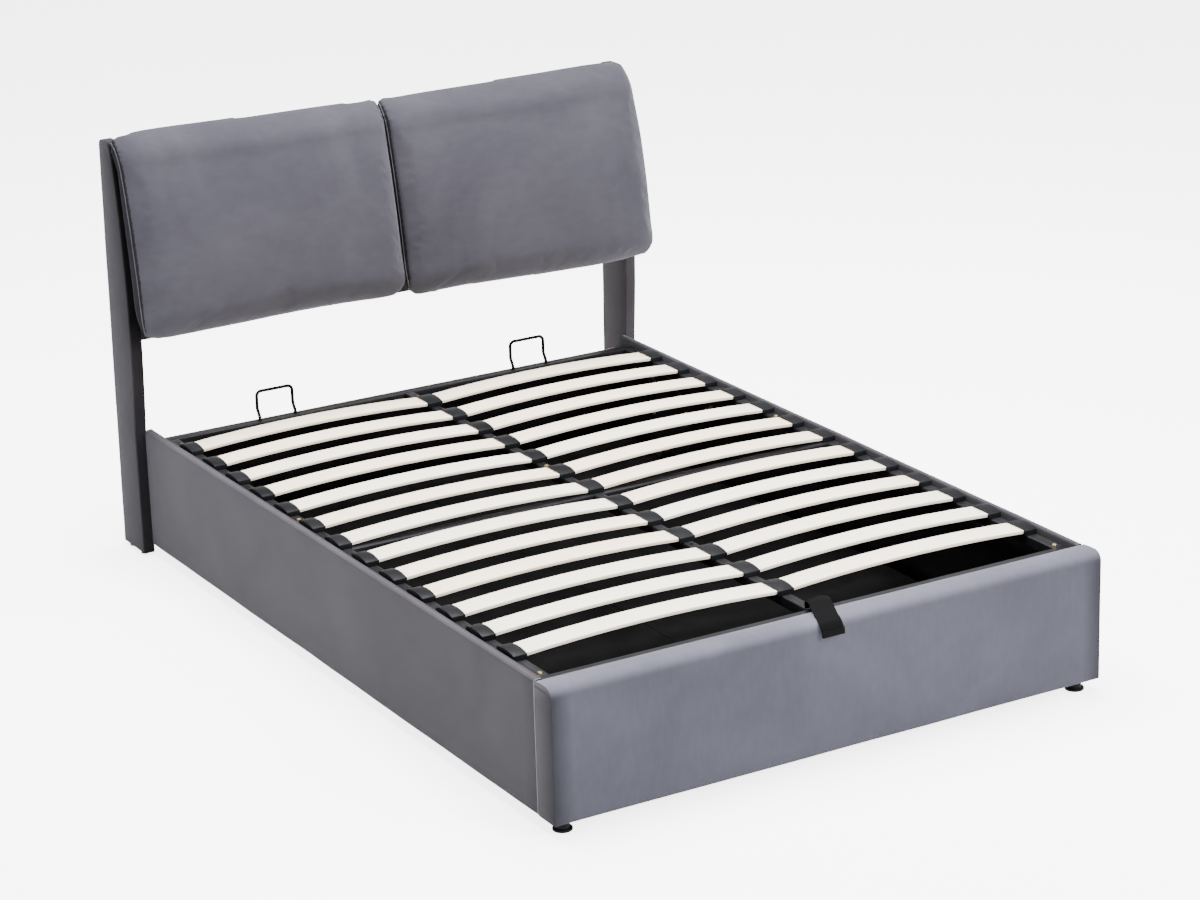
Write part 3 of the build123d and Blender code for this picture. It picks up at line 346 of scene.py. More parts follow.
def cad_form(node):
    """Editable copy of a CAD node's mesh with its triangles joined into whole faces."""
    form = bmesh.new()
    form.from_mesh(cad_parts[node].data)
    bmesh.ops.remove_doubles(form, verts=form.verts, dist=1e-5)
    bmesh.ops.dissolve_limit(
        form, angle_limit=math.radians(0.8), use_dissolve_boundaries=False, verts=form.verts,
        edges=form.edges, delimit=set(),
    )
    return form


def bevel_edges(form, edges, radius, segments):
    """Round chosen edges of a form."""
    bmesh.ops.bevel(
        form, geom=edges, offset=radius, offset_type="OFFSET", segments=segments, profile=0.5,
        affect="EDGES", material=-1, clamp_overlap=True,
    )


def dressed(node, piece_name, finish, body, radius=0.5 * mm, sharp=32, segments=2):
    """Rigid CAD node carried over with its sharp edges broken, as a made part has them."""
    form = cad_form(node)
    limit = math.radians(sharp)
    edges = [e for e in form.edges if len(e.link_faces) == 2 and e.calc_face_angle(0.0) > limit]
    bevel_edges(form, edges, radius, segments)
    piece = new_piece(piece_name, form, sharp)
    piece.data.materials.append(finish)
    fitted(piece, body, node)
    return piece


sides = (("left", -1), ("right", 1))
for side, _ in sides:
    dressed(f"corner_angle_{side}", f"corner_steel_angle_{side}", zinc, "bed_frame")
dressed("board_bolts", "frame_bolts", brass_zinc, "bed_frame", 0.4 * mm)

# Feet: turned black pads under the footboard's corners and under the middle bearer, and four
# nail-in glides that keep the posts off the floor.
moulded = made_finish(
    "black_moulding", (13, 14, 16), (22, 23, 26), 700.0, 0.42, 0.56, 0.00025, specular=0.1
)
for node, radius in (
    ("corner_feet", 1.2 * mm), ("centre_feet", 1.0 * mm), ("post_glides", 0.8 * mm),
):
    dressed(node, f"{node}_pads", moulded, "bed_frame", radius)

# Side rails: short-pile velvet over thin foam, drawn round the board and over its top lip.
# The lower edge is stapled by hand and wanders a little; a seam closes it to the footboard.
rail_outer, rail_inner = 0.725, 0.704
rail_low, rail_top, lip_low = 0.030, 0.343, 0.298
board_face = 0.7062
rail_middle, board_middle, near_outer = 0.7145, 0.7155, 0.72
footboard_back, post_front = -1.03955, 0.98875

# Velvet changes shade in soft brushed patches, and its pile is a fine nap in the bump. A point
# attribute holds painted light and shade: above 0 a painted highlight, below 0 painted shade
pile_group, pile_in, pile_out = new_group("velvet_pile", ("Pale", "Deep"), stretch="Brush")
place = add_node(pile_group, "TexCoord")
brushed = add_node(pile_group, "VectorMath", operation="MULTIPLY")
patches = add_node(pile_group, "TexNoise", {"Scale": 3.2, "Detail": 3.0, "Distortion": 0.8})
strokes = add_node(pile_group, "TexNoise", {"Scale": 26.0, "Detail": 3.0, "Distortion": 0.4})
nap_and_painted_light = add_node(pile_group, "TexNoise", {"Scale": 1500.0, "Detail": 1.0})
blend_marks = add_node(pile_group, "Math", {1: 0.35}, operation="MULTIPLY_ADD")
mark_range = add_node(pile_group, "MapRange", {"From Min": 0.45, "From Max": 0.95})
shade = add_node(pile_group, "Mix", data_type="RGBA")
# Painted light and shade: the point attribute, plus one, scales the colour
painted_light_node = add_node(pile_group, "Attribute", attribute_name="nap_and_painted_light")
painted_light_scale = add_node(pile_group, "Math", {1: 1.0}, operation="ADD")
lit = add_node(pile_group, "VectorMath", operation="SCALE")
gloss = add_node(pile_group, "MapRange", {"To Min": 0.72, "To Max": 0.9})
connect(
    pile_group,
    (place, "Object", brushed, 0),
    (pile_in, "Brush", brushed, 1),
    (place, "Object", patches, "Vector"),
    (brushed, "Vector", strokes, "Vector"),
    (place, "Object", nap_and_painted_light, "Vector"),
    (strokes, "Fac", blend_marks, 0),
    (patches, "Fac", blend_marks, 2),
    (blend_marks, "Value", mark_range, "Value"),
    (mark_range, "Result", shade, "Factor"),
    (pile_in, "Deep", shade, "A"),
    (pile_in, "Pale", shade, "B"),
    (painted_light_node, "Fac", painted_light_scale, 0),
    (shade, "Result", lit, 0),
    (painted_light_scale, "Value", lit, "Scale"),
    (lit, "Vector", pile_out, "Colour"),
    (strokes, "Fac", gloss, "Value"),
    (gloss, "Result", pile_out, "Roughness"),
    (nap_and_painted_light, "Fac", pile_out, "Height"),
)


def velvet_finish(name, pale, deep, brush=(1, 1, 3), sheen=0.23, specular=0.08):
    """Velvet of two screen colours, its pile last brushed along the axis stretched least."""
    values = {"Pale": srgb(*pale), "Deep": srgb(*deep), "Brush": brush}
    finish, shader = grouped_finish(name, 0.8, specular, pile_group, values, 0.25, 0.0006)
    shader.inputs["Sheen Weight"].default_value = sheen
    shader.inputs["Sheen Roughness"].default_value = 0.38
    shader.inputs["Sheen Tint"].default_value = srgb(226, 226, 240)
    return finish


def paint_light_and_shade(piece, light_and_shade_at):
    """Set the painted light and shade at each point of a velvet piece."""
    painted_light_values = piece.data.attributes.new("nap_and_painted_light", "FLOAT", "POINT")
    for vert in piece.data.vertices:
        painted_light_values.data[vert.index].value = light_and_shade_at(vert.co)


def bar_form(corners, travel):
    """Closed bar: a flat face through the corners, extruded along a travel."""
    form = bmesh.new()
    face = form.faces.new([form.verts.new(corner) for corner in corners])
    grown = bmesh.ops.extrude_face_region(form, geom=[face])
    moved = [item for item in grown["geom"] if isinstance(item, bmesh.types.BMVert)]
    bmesh.ops.translate(form, verts=moved, vec=travel)
    bmesh.ops.recalc_face_normals(form, faces=form.faces)
    return form


def round_edges(form, radius, segments, chosen):
    """Round the edges for which chosen(middle, direction) is true."""
    edges = []
    for edge in form.edges:
        first, second = (vert.co for vert in edge.verts)
        if chosen((first + second) / 2, (second - first).normalized()):
            edges.append(edge)
    bevel_edges(form, edges, radius, segments)


def runs(direction, axis):
    """Whether an edge runs along an axis."""
    return abs(direction[axis]) > 0.9


def crosses(direction, axis):
    """Whether an edge stands across an axis."""
    return abs(direction[axis]) < 0.1


def pad_surface(form, amount, scale, seed):
    """Let cloth over foam wander in and out by an amount, in waves of about 1 / scale metres."""
    form.normal_update()
    moves = []
    for vert in form.verts:
        wave = noise.noise(vert.co * scale + Vector((seed, seed * 0.37, -seed)))
        moves.append(vert.normal * amount * wave)
    for vert, move in zip(form.verts, moves):
        vert.co += move


velvet = velvet_finish("velvet_side", (52, 50, 53), (41, 39, 42))
for side, hand in sides:
    section = [
        (rail_outer, rail_low), (rail_outer, rail_top), (rail_inner, rail_top),
        (rail_inner, lip_low), (board_face, lip_low), (board_face, rail_low),
    ]
    rail_form = bar_form(
        [(hand * x, footboard_back, z) for x, z in section], (0, post_front - footboard_back, 0)
    )
    for radius, segments, chosen in (
        (9 * mm, 5, lambda m, d: runs(d, 1) and m.z > rail_top - mm and abs(m.x) > near_outer),
        (5 * mm, 4, lambda m, d: runs(d, 1) and m.z > rail_top - mm and abs(m.x) < rail_middle),
        (3 * mm, 3, lambda m, d: crosses(d, 1) and abs(m.x) > board_middle),
        (2.5 * mm, 3, lambda m, d: runs(d, 1) and m.z < rail_low + mm and abs(m.x) > near_outer),
    ):
        round_edges(rail_form, radius, segments, chosen)
    cut_along(rail_form, 1, footboard_back, post_front, 0.055)
    cut_along(rail_form, 2, rail_low, rail_top, 0.045)
    pad_surface(rail_form, 0.9 * mm, 5.0, 11 + hand)
    for vert in rail_form.verts:
        if vert.co.z < rail_low + 6 * mm and abs(vert.co.x) > near_outer:
            vert.co.z += 1.3 * mm * noise.noise(Vector((7.0, vert.co.y * 6.0, hand)))
    rail = new_piece(f"side_rail_velvet_{side}", rail_form)
    rail.data.materials.append(velvet)
    # Painted highlight along the round top of the outer face; a faint painted shade elsewhere
    paint_light_and_shade(
        rail,
        lambda p: 0.95 * float(p.z > rail_top - 6 * mm and abs(p.x) > rail_middle) - 0.04,
    )
    fitted(rail, "bed_frame", f"side_rail_cover_{side}")

# Footboard: the same velvet over thicker foam, one piece over the front and the round top,
# with its two ends sewn on as narrow strips. A seam runs round each end just under the top.
foot_front = -1.11155
foot_round, foot_back_round, foot_end_round = 24 * mm, 10 * mm, 13 * mm
foot_crown, foot_back_top = -1.068, 0.341
back_face = -1.0418
foot_section = [
    (foot_front, rail_low), (foot_front, rail_top), (foot_crown, rail_top),
    (footboard_back, foot_back_top), (footboard_back, lip_low), (back_face, lip_low),
    (back_face, rail_low),
]
foot_form = bar_form([(-rail_outer, y, z) for y, z in foot_section], (2 * rail_outer, 0, 0))


def near(value, place):
    """Whether a coordinate is within a millimetre of a place."""
    return abs(value - place) < mm


for radius, segments, chosen in (
    (foot_round, 8, lambda m, d: runs(d, 0) and near(m.z, rail_top) and near(m.y, foot_front)),
    (
        foot_back_round, 4,
        lambda m, d: runs(d, 0) and near(m.z, foot_back_top) and near(m.y, footboard_back),
    ),
    (3 * mm, 3, lambda m, d: runs(d, 0) and near(m.z, rail_low) and near(m.y, foot_front)),
    (
        foot_end_round, 5,
        lambda m, d: crosses(d, 0) and near(abs(m.x), rail_outer)
        and not (near(m.y, footboard_back) or near(m.z, rail_low)),
    ),
    (
        3 * mm, 3,
        lambda m, d: runs(d, 2) and near(abs(m.x), rail_outer) and near(m.y, footboard_back),
    ),
):
    round_edges(foot_form, radius, segments, chosen)
cut_along(foot_form, 0, -rail_outer, rail_outer, 0.05)
cut_along(foot_form, 2, rail_low, rail_top - foot_round, 0.045)
pad_surface(foot_form, 1.0 * mm, 4.0, 3)
footboard = new_piece("footboard_velvet", foot_form, 60)
# Painted light on the front and round top, a lighter copy of the velvet; painted shade on the
# sideways ends, in the darker rail velvet
footboard.data.materials.append(
    velvet_finish("velvet_foot_painted_light", (70, 70, 79), (59, 59, 67), (3, 1, 1))
)
footboard.data.materials.append(velvet)
for face in footboard.data.polygons:
    face.material_index = int(abs(face.normal.x) > 0.75)


def part_of(run, length):
    """Share of a length that a run covers, from 0 to 1."""
    return min(1.0, max(0.0, run / length))


def foot_painted_light(point):
    """Painted highlight over the footboard's round top, painted shade down its front corners."""
    high = part_of(point.z - 0.322, 0.016)
    mottle = noise.noise(point * 60.0) * 0.12
    corner = part_of(abs(point.x) - 0.711, 0.008) * part_of(-1.076 - point.y, 0.020)
    return high * (0.85 + mottle) - 0.62 * corner * (1.0 - 0.7 * high)


paint_light_and_shade(footboard, foot_painted_light)
fitted(footboard, "bed_frame", "footboard_cover")

# Seams at the footboard's ends: a narrow folded welt where rail and footboard cloth meet, and
# a stitched seam under the round top of each end, sewn with grey thread.


def rounded_path(corners, radii, steps):
    """Points along a line of runs whose inner corners are rounded to their radii."""
    path = [corners[0]]
    for before, corner, after, radius in zip(corners, corners[1:], corners[2:], radii):
        arrive, leave = (before - corner).normalized(), (after - corner).normalized()
        half_turn = arrive.angle(leave) / 2
        start, end = (corner + way * radius / math.tan(half_turn) for way in (arrive, leave))
        hub = corner + (arrive + leave).normalized() * radius / math.sin(half_turn)
        for step in range(steps + 1):
            spoke = (start - hub).slerp(end - hub, step / steps)
            path.append(hub + spoke.normalized() * radius)
    return path + [corners[-1]]


def wire_piece(name, path, radius, sides=4):
    """Round wire, cord or welt along a path, as a mesh with closed ends."""
    line = bpy.data.curves.new(name, "CURVE")
    line.dimensions = "3D"
    line.bevel_depth = radius
    line.bevel_resolution = sides
    line.use_fill_caps = True
    run = line.splines.new("POLY")
    run.points.add(len(path) - 1)
    for point, place in zip(run.points, path):
        point.co = (*place, 1.0)
    drawn = bpy.data.objects.new(f"{name}_line", line)
    scene.collection.objects.link(drawn)
    ready = bpy.context.evaluated_depsgraph_get()
    mesh = bpy.data.meshes.new_from_object(drawn.evaluated_get(ready))
    bpy.data.objects.remove(drawn)
    form = bmesh.new()
    form.from_mesh(mesh)
    bmesh.ops.remove_doubles(form, verts=form.verts, dist=1e-6)
    return new_piece(name, form, 60)


def evenly(path, spacing):
    """Points at an even spacing along a path, with the direction of the path at each."""
    points, carried = [], 0.0
    for before, after in zip(path, path[1:]):
        run = after - before
        while carried <= run.length:
            points.append((before + run * (carried / run.length), run.normalized()))
            carried += spacing
        carried -= run.length
    return points


def stitched(name, path, finish, spacing=4.2 * mm, length=2.8 * mm):
    """Row of sewn stitches along a path, each a short rounded length of thread."""
    form = bmesh.new()
    for place, way in evenly(path, spacing):
        turn = way.to_track_quat("X", "Z").to_matrix().to_4x4()
        shape = Matrix.Diagonal((length / 2, 0.45 * mm, 0.45 * mm, 1.0))
        bmesh.ops.create_icosphere(
            form, subdivisions=1, radius=1.0, matrix=Matrix.Translation(place) @ turn @ shape
        )
    stitches = new_piece(name, form, 180)
    stitches.data.materials.append(finish)
    fitted(stitches, "bed_frame")


def sewn_seam(name, path, radius, finish):
    """Welt or fold of velvet along a path."""
    seam = wire_piece(name, path, radius, 3)
    seam.data.materials.append(finish)
    fitted(seam, "bed_frame")


seam_high = 0.3305
velvet_welt = velvet_finish("velvet_welt", (76, 75, 80), (62, 61, 66), (1, 1, 1))
# The corner welts are in a pale copy of the velvet, a painted highlight along the fold
velvet_piping_painted_highlight = velvet_finish("velvet_piping_painted_highlight", (118, 116, 120), (96, 94, 98), (1, 1, 1))
thread = made_finish(
    "grey_thread", (64, 63, 68), (52, 51, 55), 2000.0, 0.7, 0.9, 0.0001, specular=0.2
)
for side, hand in sides:
    face = hand * (rail_outer - 0.3 * mm)
    welt_path = rounded_path(
        [
            Vector((face, footboard_back, rail_low + 2 * mm)),
            Vector((face, footboard_back, rail_top - 0.8 * mm)),
            Vector((hand * (rail_inner + 3 * mm), footboard_back, rail_top - 1.8 * mm)),
        ],
        (8 * mm,), 8,
    )
    sewn_seam(f"corner_welt_{side}", welt_path, 1.3 * mm, velvet_piping_painted_highlight)
    seam_path = [
        Vector((hand * (rail_outer + 0.1 * mm), footboard_back - 4 * mm, seam_high)),
        Vector((hand * (rail_outer + 0.1 * mm), foot_front + 17 * mm, seam_high - 2 * mm)),
        Vector((hand * (rail_outer - 3 * mm), foot_front + 9 * mm, seam_high - 4 * mm)),
    ]
    sewn_seam(f"end_fold_{side}", seam_path, 0.8 * mm, velvet)
    lower = [point - Vector((0, 0, 3.2 * mm)) for point in seam_path[:2]]
    stitched(f"end_stitches_{side}", lower, thread)

# Headboard posts: tall curved timbers in velvet, with a belly to the front and a top that
# leans back. The cloth is joined along the edges of the front in a narrow closed seam.
post_inner, post_outer = 0.721, 0.7525
post_back, post_low, post_top = 1.11675, 0.008, 1.098
post_corner = 16 * mm


def arc_points(first, middle, last, count):
    """Points of the arc through three (y, z) points, without the first one."""
    a, b, c = (Vector(point) for point in (first, middle, last))
    turned = lambda v: Vector((-v.y, v.x))
    ab, bc = b - a, c - b
    reach = (c - a).dot(bc) / (2 * turned(ab).dot(bc))
    centre = (a + b) / 2 + turned(ab) * reach
    begin, end = a - centre, c - centre
    total = begin.angle_signed(end)
    return [
        centre + Matrix.Rotation(-total * step / count, 2) @ begin
        for step in range(1, count + 1)
    ]


shoulder, belly_crown, neck_middle = (0.99675, 0.940), (0.97575, 0.650), (1.008554, 1.019389)
neck_end, top_back = (1.02475, post_top), (1.09275, post_top)
belly = arc_points((post_front, rail_top), belly_crown, shoulder, 14)
neck = arc_points(shoulder, neck_middle, neck_end, 5)
post_outline = [
    (post_front, post_low), (post_front, rail_top), *belly, *neck, top_back, (post_back, post_low),
]
# The posts take a darker copy of the velvet, as painted shade, and the left post's front a darker
# one again
velvet_post_painted_shade = velvet_finish("velvet_post_painted_shade", (42, 40, 43), (32, 30, 33), (1, 1, 0.4), 0.17)
velvet_shade = velvet_finish("velvet_shade", (38, 36, 39), (29, 28, 30), (1, 1, 0.4), 0.04, 0.0)
front_points = [Vector(point) for point in post_outline[:-2]]


def front_line(z):
    """Place along the bed of the post's front edge at a height."""
    for low, high in zip(front_points, front_points[1:]):
        if low.y <= z <= high.y:
            return low.lerp(high, (z - low.y) / (high.y - low.y)).x
    return front_points[-1].x


for side, hand in sides:
    inner_outline = [(hand * post_inner, y, z) for y, z in post_outline]
    post_form = bar_form(inner_outline, (hand * (post_outer - post_inner), 0, 0))
    for radius, segments, chosen in (
        (post_corner, 6, lambda m, d: runs(d, 0) and m.z > post_top - mm),
        (4 * mm, 4, lambda m, d: crosses(d, 0) and abs(m.x) > post_outer - mm),
        (2.5 * mm, 3, lambda m, d: crosses(d, 0) and abs(m.x) < post_inner + mm),
    ):
        round_edges(post_form, radius, segments, chosen)
    cut_along(post_form, 2, post_low, post_top, 0.05)
    pad_surface(post_form, 0.7 * mm, 8.0, 21 + hand)
    post = new_piece(f"post_velvet_{side}", post_form)
    post.data.materials.append(velvet_post_painted_shade)

    def post_painted_light(point):
        """Painted light on the right post; painted shade on the left post's front, most by its
        cushion.
        """
        on_front = float(hand < 0 and point.y < front_line(point.z) + 7 * mm)
        shaded = part_of(point.z - 0.57, 0.06)
        return (-0.05 if hand < 0 else 0.75) - on_front * (0.1 + 0.55 * shaded)

    paint_light_and_shade(post, post_painted_light)
    # The left post's front faces take the shade velvet: painted shade where the cushion shades it
    if hand < 0:
        post.data.materials.append(velvet_shade)
        for face in post.data.polygons:
            face.material_index = int(face.normal.y < -0.85)
    fitted(post, "bed_frame", f"post_cover_{side}")

# Headboard panel: a board between the posts that leans back, padded in front and wrapped in
# the same velvet, which is stapled behind. Its lower edge is left bare.
panel_low, panel_top = 0.5803, 1.084
panel_half, panel_depth = 0.7207, 28 * mm


def panel_face(z):
    """Place along the bed of the panel's front face at a height."""
    return 0.99875 + (z - 0.580) / 18.0


panel_front = [(panel_face(z), z) for z in (panel_low, panel_top)]
panel_corners = panel_front + [(y + panel_depth, z) for y, z in reversed(panel_front)]
panel_form = bar_form([(-panel_half, y, z) for y, z in panel_corners], (2 * panel_half, 0, 0))
round_edges(panel_form, 8 * mm, 5, lambda m, d: runs(d, 0) and m.z > panel_top - mm)
cut_along(panel_form, 0, -panel_half, panel_half, 0.05)
cut_along(panel_form, 2, panel_low, panel_top - 9 * mm, 0.05)
pad_surface(panel_form, 0.6 * mm, 6.0, 31)
panel = new_piece("headboard_velvet", panel_form)
panel.data.materials.append(velvet)
fitted(panel, "bed_frame", "headboard_cover")

# Headboard cushions: two boxed velvet cases with a soft filling, held to the panel by tapes.
# They are full in the middle and low down, and thin out to a narrow side band at each end.
cushion_inner, cushion_outer = -0.005, 0.756
cushion_low, cushion_height, cushion_stand = 0.593, 0.541, 0.138
cushion_length = cushion_outer - cushion_inner
cushion_cap, panel_clear = 8 * mm, 2.4 * mm
front_middle = [
    (-0.207, 1.0), (0.207, 0.952), (0.444, 0.832), (0.830, 0.510), (1.0, 0.185), (0.904, 0.069),
    (0.630, 0.0),
]
front_seam = [
    (-0.281, 0.955), (-0.044, 0.908), (0.133, 0.815), (0.407, 0.494), (0.625, 0.150),
    (0.700, 0.090), (0.705, 0.048),
]
under_middle, under_seam = (0.163, 0.054), (0.590, 0.078)
nape_middle, nape_seam = (-0.245, 0.934), (-0.260, 0.910)
back_seam = [(0.400, 0.164), (-0.040, 0.813)]


def cushion_place(share):
    """Point (y, z) of a cushion's side view from its shares of stand and height."""
    return Vector((post_front - share[0] * cushion_stand, cushion_low + share[1] * cushion_height))


def front_line_of(front, counts):
    """Points of the three arcs through the seven points of a cushion's front."""
    line = []
    for first, count in zip((0, 2, 4), counts):
        line += arc_points(*front[first:first + 3], count)
    return line


def cushion_loop(form, x, fullness):
    """Closed loop of edges round the cushion's side view at a fullness."""
    def between(seam, middle):
        return cushion_place(seam).lerp(cushion_place(middle), fullness)

    front = [between(seam, middle) for seam, middle in zip(front_seam, front_middle)]
    backs = []
    for seam in back_seam:
        rest = cushion_place(seam)
        backs.append(rest.lerp(Vector((panel_face(rest.y) - panel_clear, rest.y)), fullness))
    line = (
        front_line_of(front, (6, 8, 5))
        + arc_points(front[6], between(under_seam, under_middle), backs[0], 6)
        + [backs[0].lerp(backs[1], step / 7) for step in range(1, 8)]
        + arc_points(backs[1], between(nape_seam, nape_middle), front[0], 5)
    )
    ring = [form.verts.new((x, y, z)) for y, z in line]
    return [form.edges.new((ring[i], ring[i - 1])) for i in range(len(ring))]


def read_off(table, place):
    """Value between the rows (place, value) of a table."""
    for (low, first), (high, last) in zip(table, table[1:]):
        if place <= high:
            return first + (last - first) * max(0.0, (place - low) / (high - low))
    return table[-1][1]


# How each filled case has settled, in mm up, along its top and its underside, from the
# middle of the bed (0) to the outer end (1), and how far its outer end stands out at a height
settled_top = {
    -1: [(0.0, -3), (0.12, -9), (0.5, -8), (0.75, 0), (0.9, 5), (1.0, 1)],
    1: [(0.0, -4), (0.11, -10), (0.3, -14), (0.6, -13), (0.85, -6), (1.0, -4)],
}
settled_low = {
    -1: [
        (0.0, -2), (0.06, -5), (0.14, 0), (0.21, 6), (0.4, 10), (0.59, 5), (0.77, 2), (0.9, -4),
        (1.0, -4),
    ],
    1: [
        (0.0, -12), (0.045, -16), (0.09, -13), (0.14, -9), (0.23, -5), (0.3, -7), (0.8, -19),
        (1.0, -21),
    ],
}
end_bulge = {
    -1: [(0.0, 0), (1.0, 0)],
    1: [(0.0, 7), (0.15, 11), (0.4, 13), (0.65, 10), (0.85, 2), (1.0, -7)],
}
inner_round, outer_round = 32 * mm, 20 * mm


def settle_case(form, hand):
    """Let a case sag, stand out at its end and turn round its lower corners."""
    for vert in form.verts:
        across = (hand * vert.co.x - cushion_inner) / cushion_length
        up = part_of(vert.co.z - cushion_low, cushion_height)
        low, top = (read_off(table[hand], across) for table in (settled_low, settled_top))
        lift = low * (1 - up) + top * up
        turn = inner_round if across < 0.5 else outer_round
        near_end = max(0.0, 1 - min(across, 1 - across) * cushion_length / turn)
        round_up = turn * (1 - math.sqrt(1 - near_end ** 2)) * max(0.0, 1 - up / 0.22)
        outwards = max(0.0, (across - 0.75) / 0.25)
        vert.co.x += hand * read_off(end_bulge[hand], up) * mm * outwards ** 2
        vert.co.z += lift * mm + round_up


def cushion_case(hand):
    """Sewn case before it is filled: loops bridged from one side band to the other."""
    form = bmesh.new()
    middle, half = (cushion_inner + cushion_outer) / 2, cushion_length / 2
    steps = (0.0, 0.005, 0.02, 0.045, 0.085, 0.14, 0.22, 0.34, 0.5, 0.75, 1.0)
    places = [-1 + s for s in steps] + [1 - s for s in reversed(steps[:-1])]
    loops = []
    for place in places:
        fullness = (1 - abs(place) ** 4) ** 0.5
        loops.append(cushion_loop(form, hand * (middle + half * place), fullness))
    for first, second in zip(loops, loops[1:]):
        bmesh.ops.bridge_loops(form, edges=first + second)
    for loop in (loops[0], loops[-1]):
        bmesh.ops.edgeloop_fill(form, edges=loop)
    settle_case(form, hand)
    bmesh.ops.recalc_face_normals(form, faces=form.faces)
    return form


def applied(piece):
    """Leave a piece with the mesh that its modifiers give, and with no modifier."""
    ready = bpy.context.evaluated_depsgraph_get()
    shaped = bpy.data.meshes.new_from_object(piece.evaluated_get(ready))
    piece.modifiers.clear()
    piece.data = shaped


def fill_case(piece, cap):
    """Blow a case up with cloth simulation, each point by no more than a cap."""
    empty_case = [vert.co.copy() for vert in piece.data.vertices]
    cloth = piece.modifiers.new("filling", "CLOTH")
    cloth.settings.quality = 5
    cloth.settings.use_pressure = True
    cloth.settings.uniform_pressure_force = 4.0
    cloth.settings.effector_weights.gravity = 0.0
    for step in range(1, 21):
        scene.frame_set(step)
    applied(piece)
    scene.frame_set(1)
    for vert, place in zip(piece.data.vertices, empty_case):
        move = vert.co - place
        if move.length > cap:
            vert.co = place + move * (cap / move.length)


def cushion_piece(hand, name):
    """One cushion as a smooth filled case, clear of its neighbour and of the panel."""
    piece = new_piece(name, cushion_case(hand), 180)
    add_modifier(piece, "skin", "REMESH", mode="VOXEL", voxel_size=7 * mm, use_smooth_shade=True)
    applied(piece)
    form = bmesh.new()
    form.from_mesh(piece.data)
    for _ in range(3):
        bmesh.ops.smooth_vert(
            form, verts=form.verts, factor=0.5, use_axis_x=True, use_axis_y=True, use_axis_z=True
        )
    form.to_mesh(piece.data)
    form.free()
    fill_case(piece, cushion_cap)
    for vert in piece.data.vertices:
        vert.co.x = hand * max(hand * vert.co.x, 0.8 * mm)
        vert.co.y = min(vert.co.y, panel_face(vert.co.z) - panel_clear)
    add_modifier(piece, "finer", "SUBSURF", levels=1, render_levels=1)
    applied(piece)
    # Gathers: the cloth puckers where it is drawn together at the top of its side seams
    for vert in piece.data.vertices:
        reach = hand * vert.co.x
        from_seam = min(abs(cushion_outer - 10 * mm - reach), abs(cushion_inner + 12 * mm - reach))
        strength = max(0.0, 1 - from_seam / (26 * mm)) * part_of(vert.co.z - 1.03, 0.05)
        if strength > 0.0:
            pucker = noise.noise(Vector((reach * 20.0, vert.co.y * 110.0, vert.co.z * 110.0)))
            vert.co += vert.normal * 2.6 * mm * strength * pucker
    piece.data.shade_smooth()
    return piece


pale_thread = made_finish(
    "pale_thread", (128, 127, 132), (100, 99, 104), 2000.0, 0.7, 0.9, 0.0001, specular=0.2
)
velvet_band_painted_shade = velvet_finish("velvet_band_painted_shade", (42, 41, 45), (32, 31, 35), (1, 1, 1), 0.05, 0.0)
velvet_cushion = velvet_finish("velvet_cushion", (63, 62, 69), (51, 50, 57), (1, 1, 2))
for side, hand in sides:
    cushion = cushion_piece(hand, f"cushion_velvet_{side}")
    cushion.data.materials.clear()
    cushion.data.materials.append(velvet_cushion)

    def band_painted_shade(point):
        """Painted shade of a cushion: darker on the side bands at its two ends."""
        reach, up = hand * point.x, (point.z - cushion_low) / cushion_height
        outer_end = cushion_outer + read_off(end_bulge[hand], up) * mm
        return -0.3 * part_of(15 * mm - min(outer_end - reach, reach), 6 * mm)

    paint_light_and_shade(cushion, band_painted_shade)
    # The side bands take a darker, nearly sheenless copy of the velvet, as painted shade
    cushion.data.materials.append(velvet_band_painted_shade)
    widest, level_height = {}, 20 * mm
    for vert in cushion.data.vertices:
        level = int(vert.co.z / level_height)
        widest[level] = max(widest.get(level, 0.0), hand * vert.co.x)
    for face in cushion.data.polygons:
        middle = face.center
        reach = hand * middle.x
        at_outer_end = widest[int(middle.z / level_height)] - reach < 5.5 * mm
        on_band = reach < 8.5 * mm or at_outer_end
        face.material_index = int(on_band and middle.z > cushion_low + 8 * mm)
    fitted(cushion, "bed_frame", f"headboard_cushion_{side}")
    # Welts: the front panel of the case is joined to its side bands with a fine piped seam
    surface = BVHTree.FromPolygons(
        [vert.co for vert in cushion.data.vertices],
        [face.vertices for face in cushion.data.polygons],
    )
    seam_side = front_line_of([cushion_place(share) for share in front_seam], (14, 18, 9))
    for end, x in (("outer", cushion_outer), ("inner", cushion_inner)):
        welt_path = []
        for y, z in seam_side:
            found, normal, _, _ = surface.find_nearest(Vector((hand * x, y - 4 * mm, z)))
            welt_path.append(found + normal * 0.3 * mm)
        for _ in range(3):
            welt_path[1:-1] = [
                (before + place * 2 + after) / 4
                for before, place, after in zip(welt_path, welt_path[1:], welt_path[2:])
            ]
        sewn_seam(f"cushion_welt_{end}_{side}", welt_path, 1.2 * mm, velvet_welt)
        inwards = Vector((-hand if end == "outer" else hand, 0, 0)) * 3.4 * mm
        row = []
        for point in welt_path:
            found, normal, _, _ = surface.find_nearest(point + inwards)
            row.append(found + normal * 0.2 * mm)
        stitched(f"cushion_stitches_{end}_{side}", row, pale_thread, 6.5 * mm, 3.4 * mm)

felt_tape = made_finish(
    "hook_tape", (16, 16, 18), (30, 30, 33), 1100.0, 0.85, 1.0, 0.0006, specular=0.1
)
finish_nodes(felt_tape, "cushion_tapes")

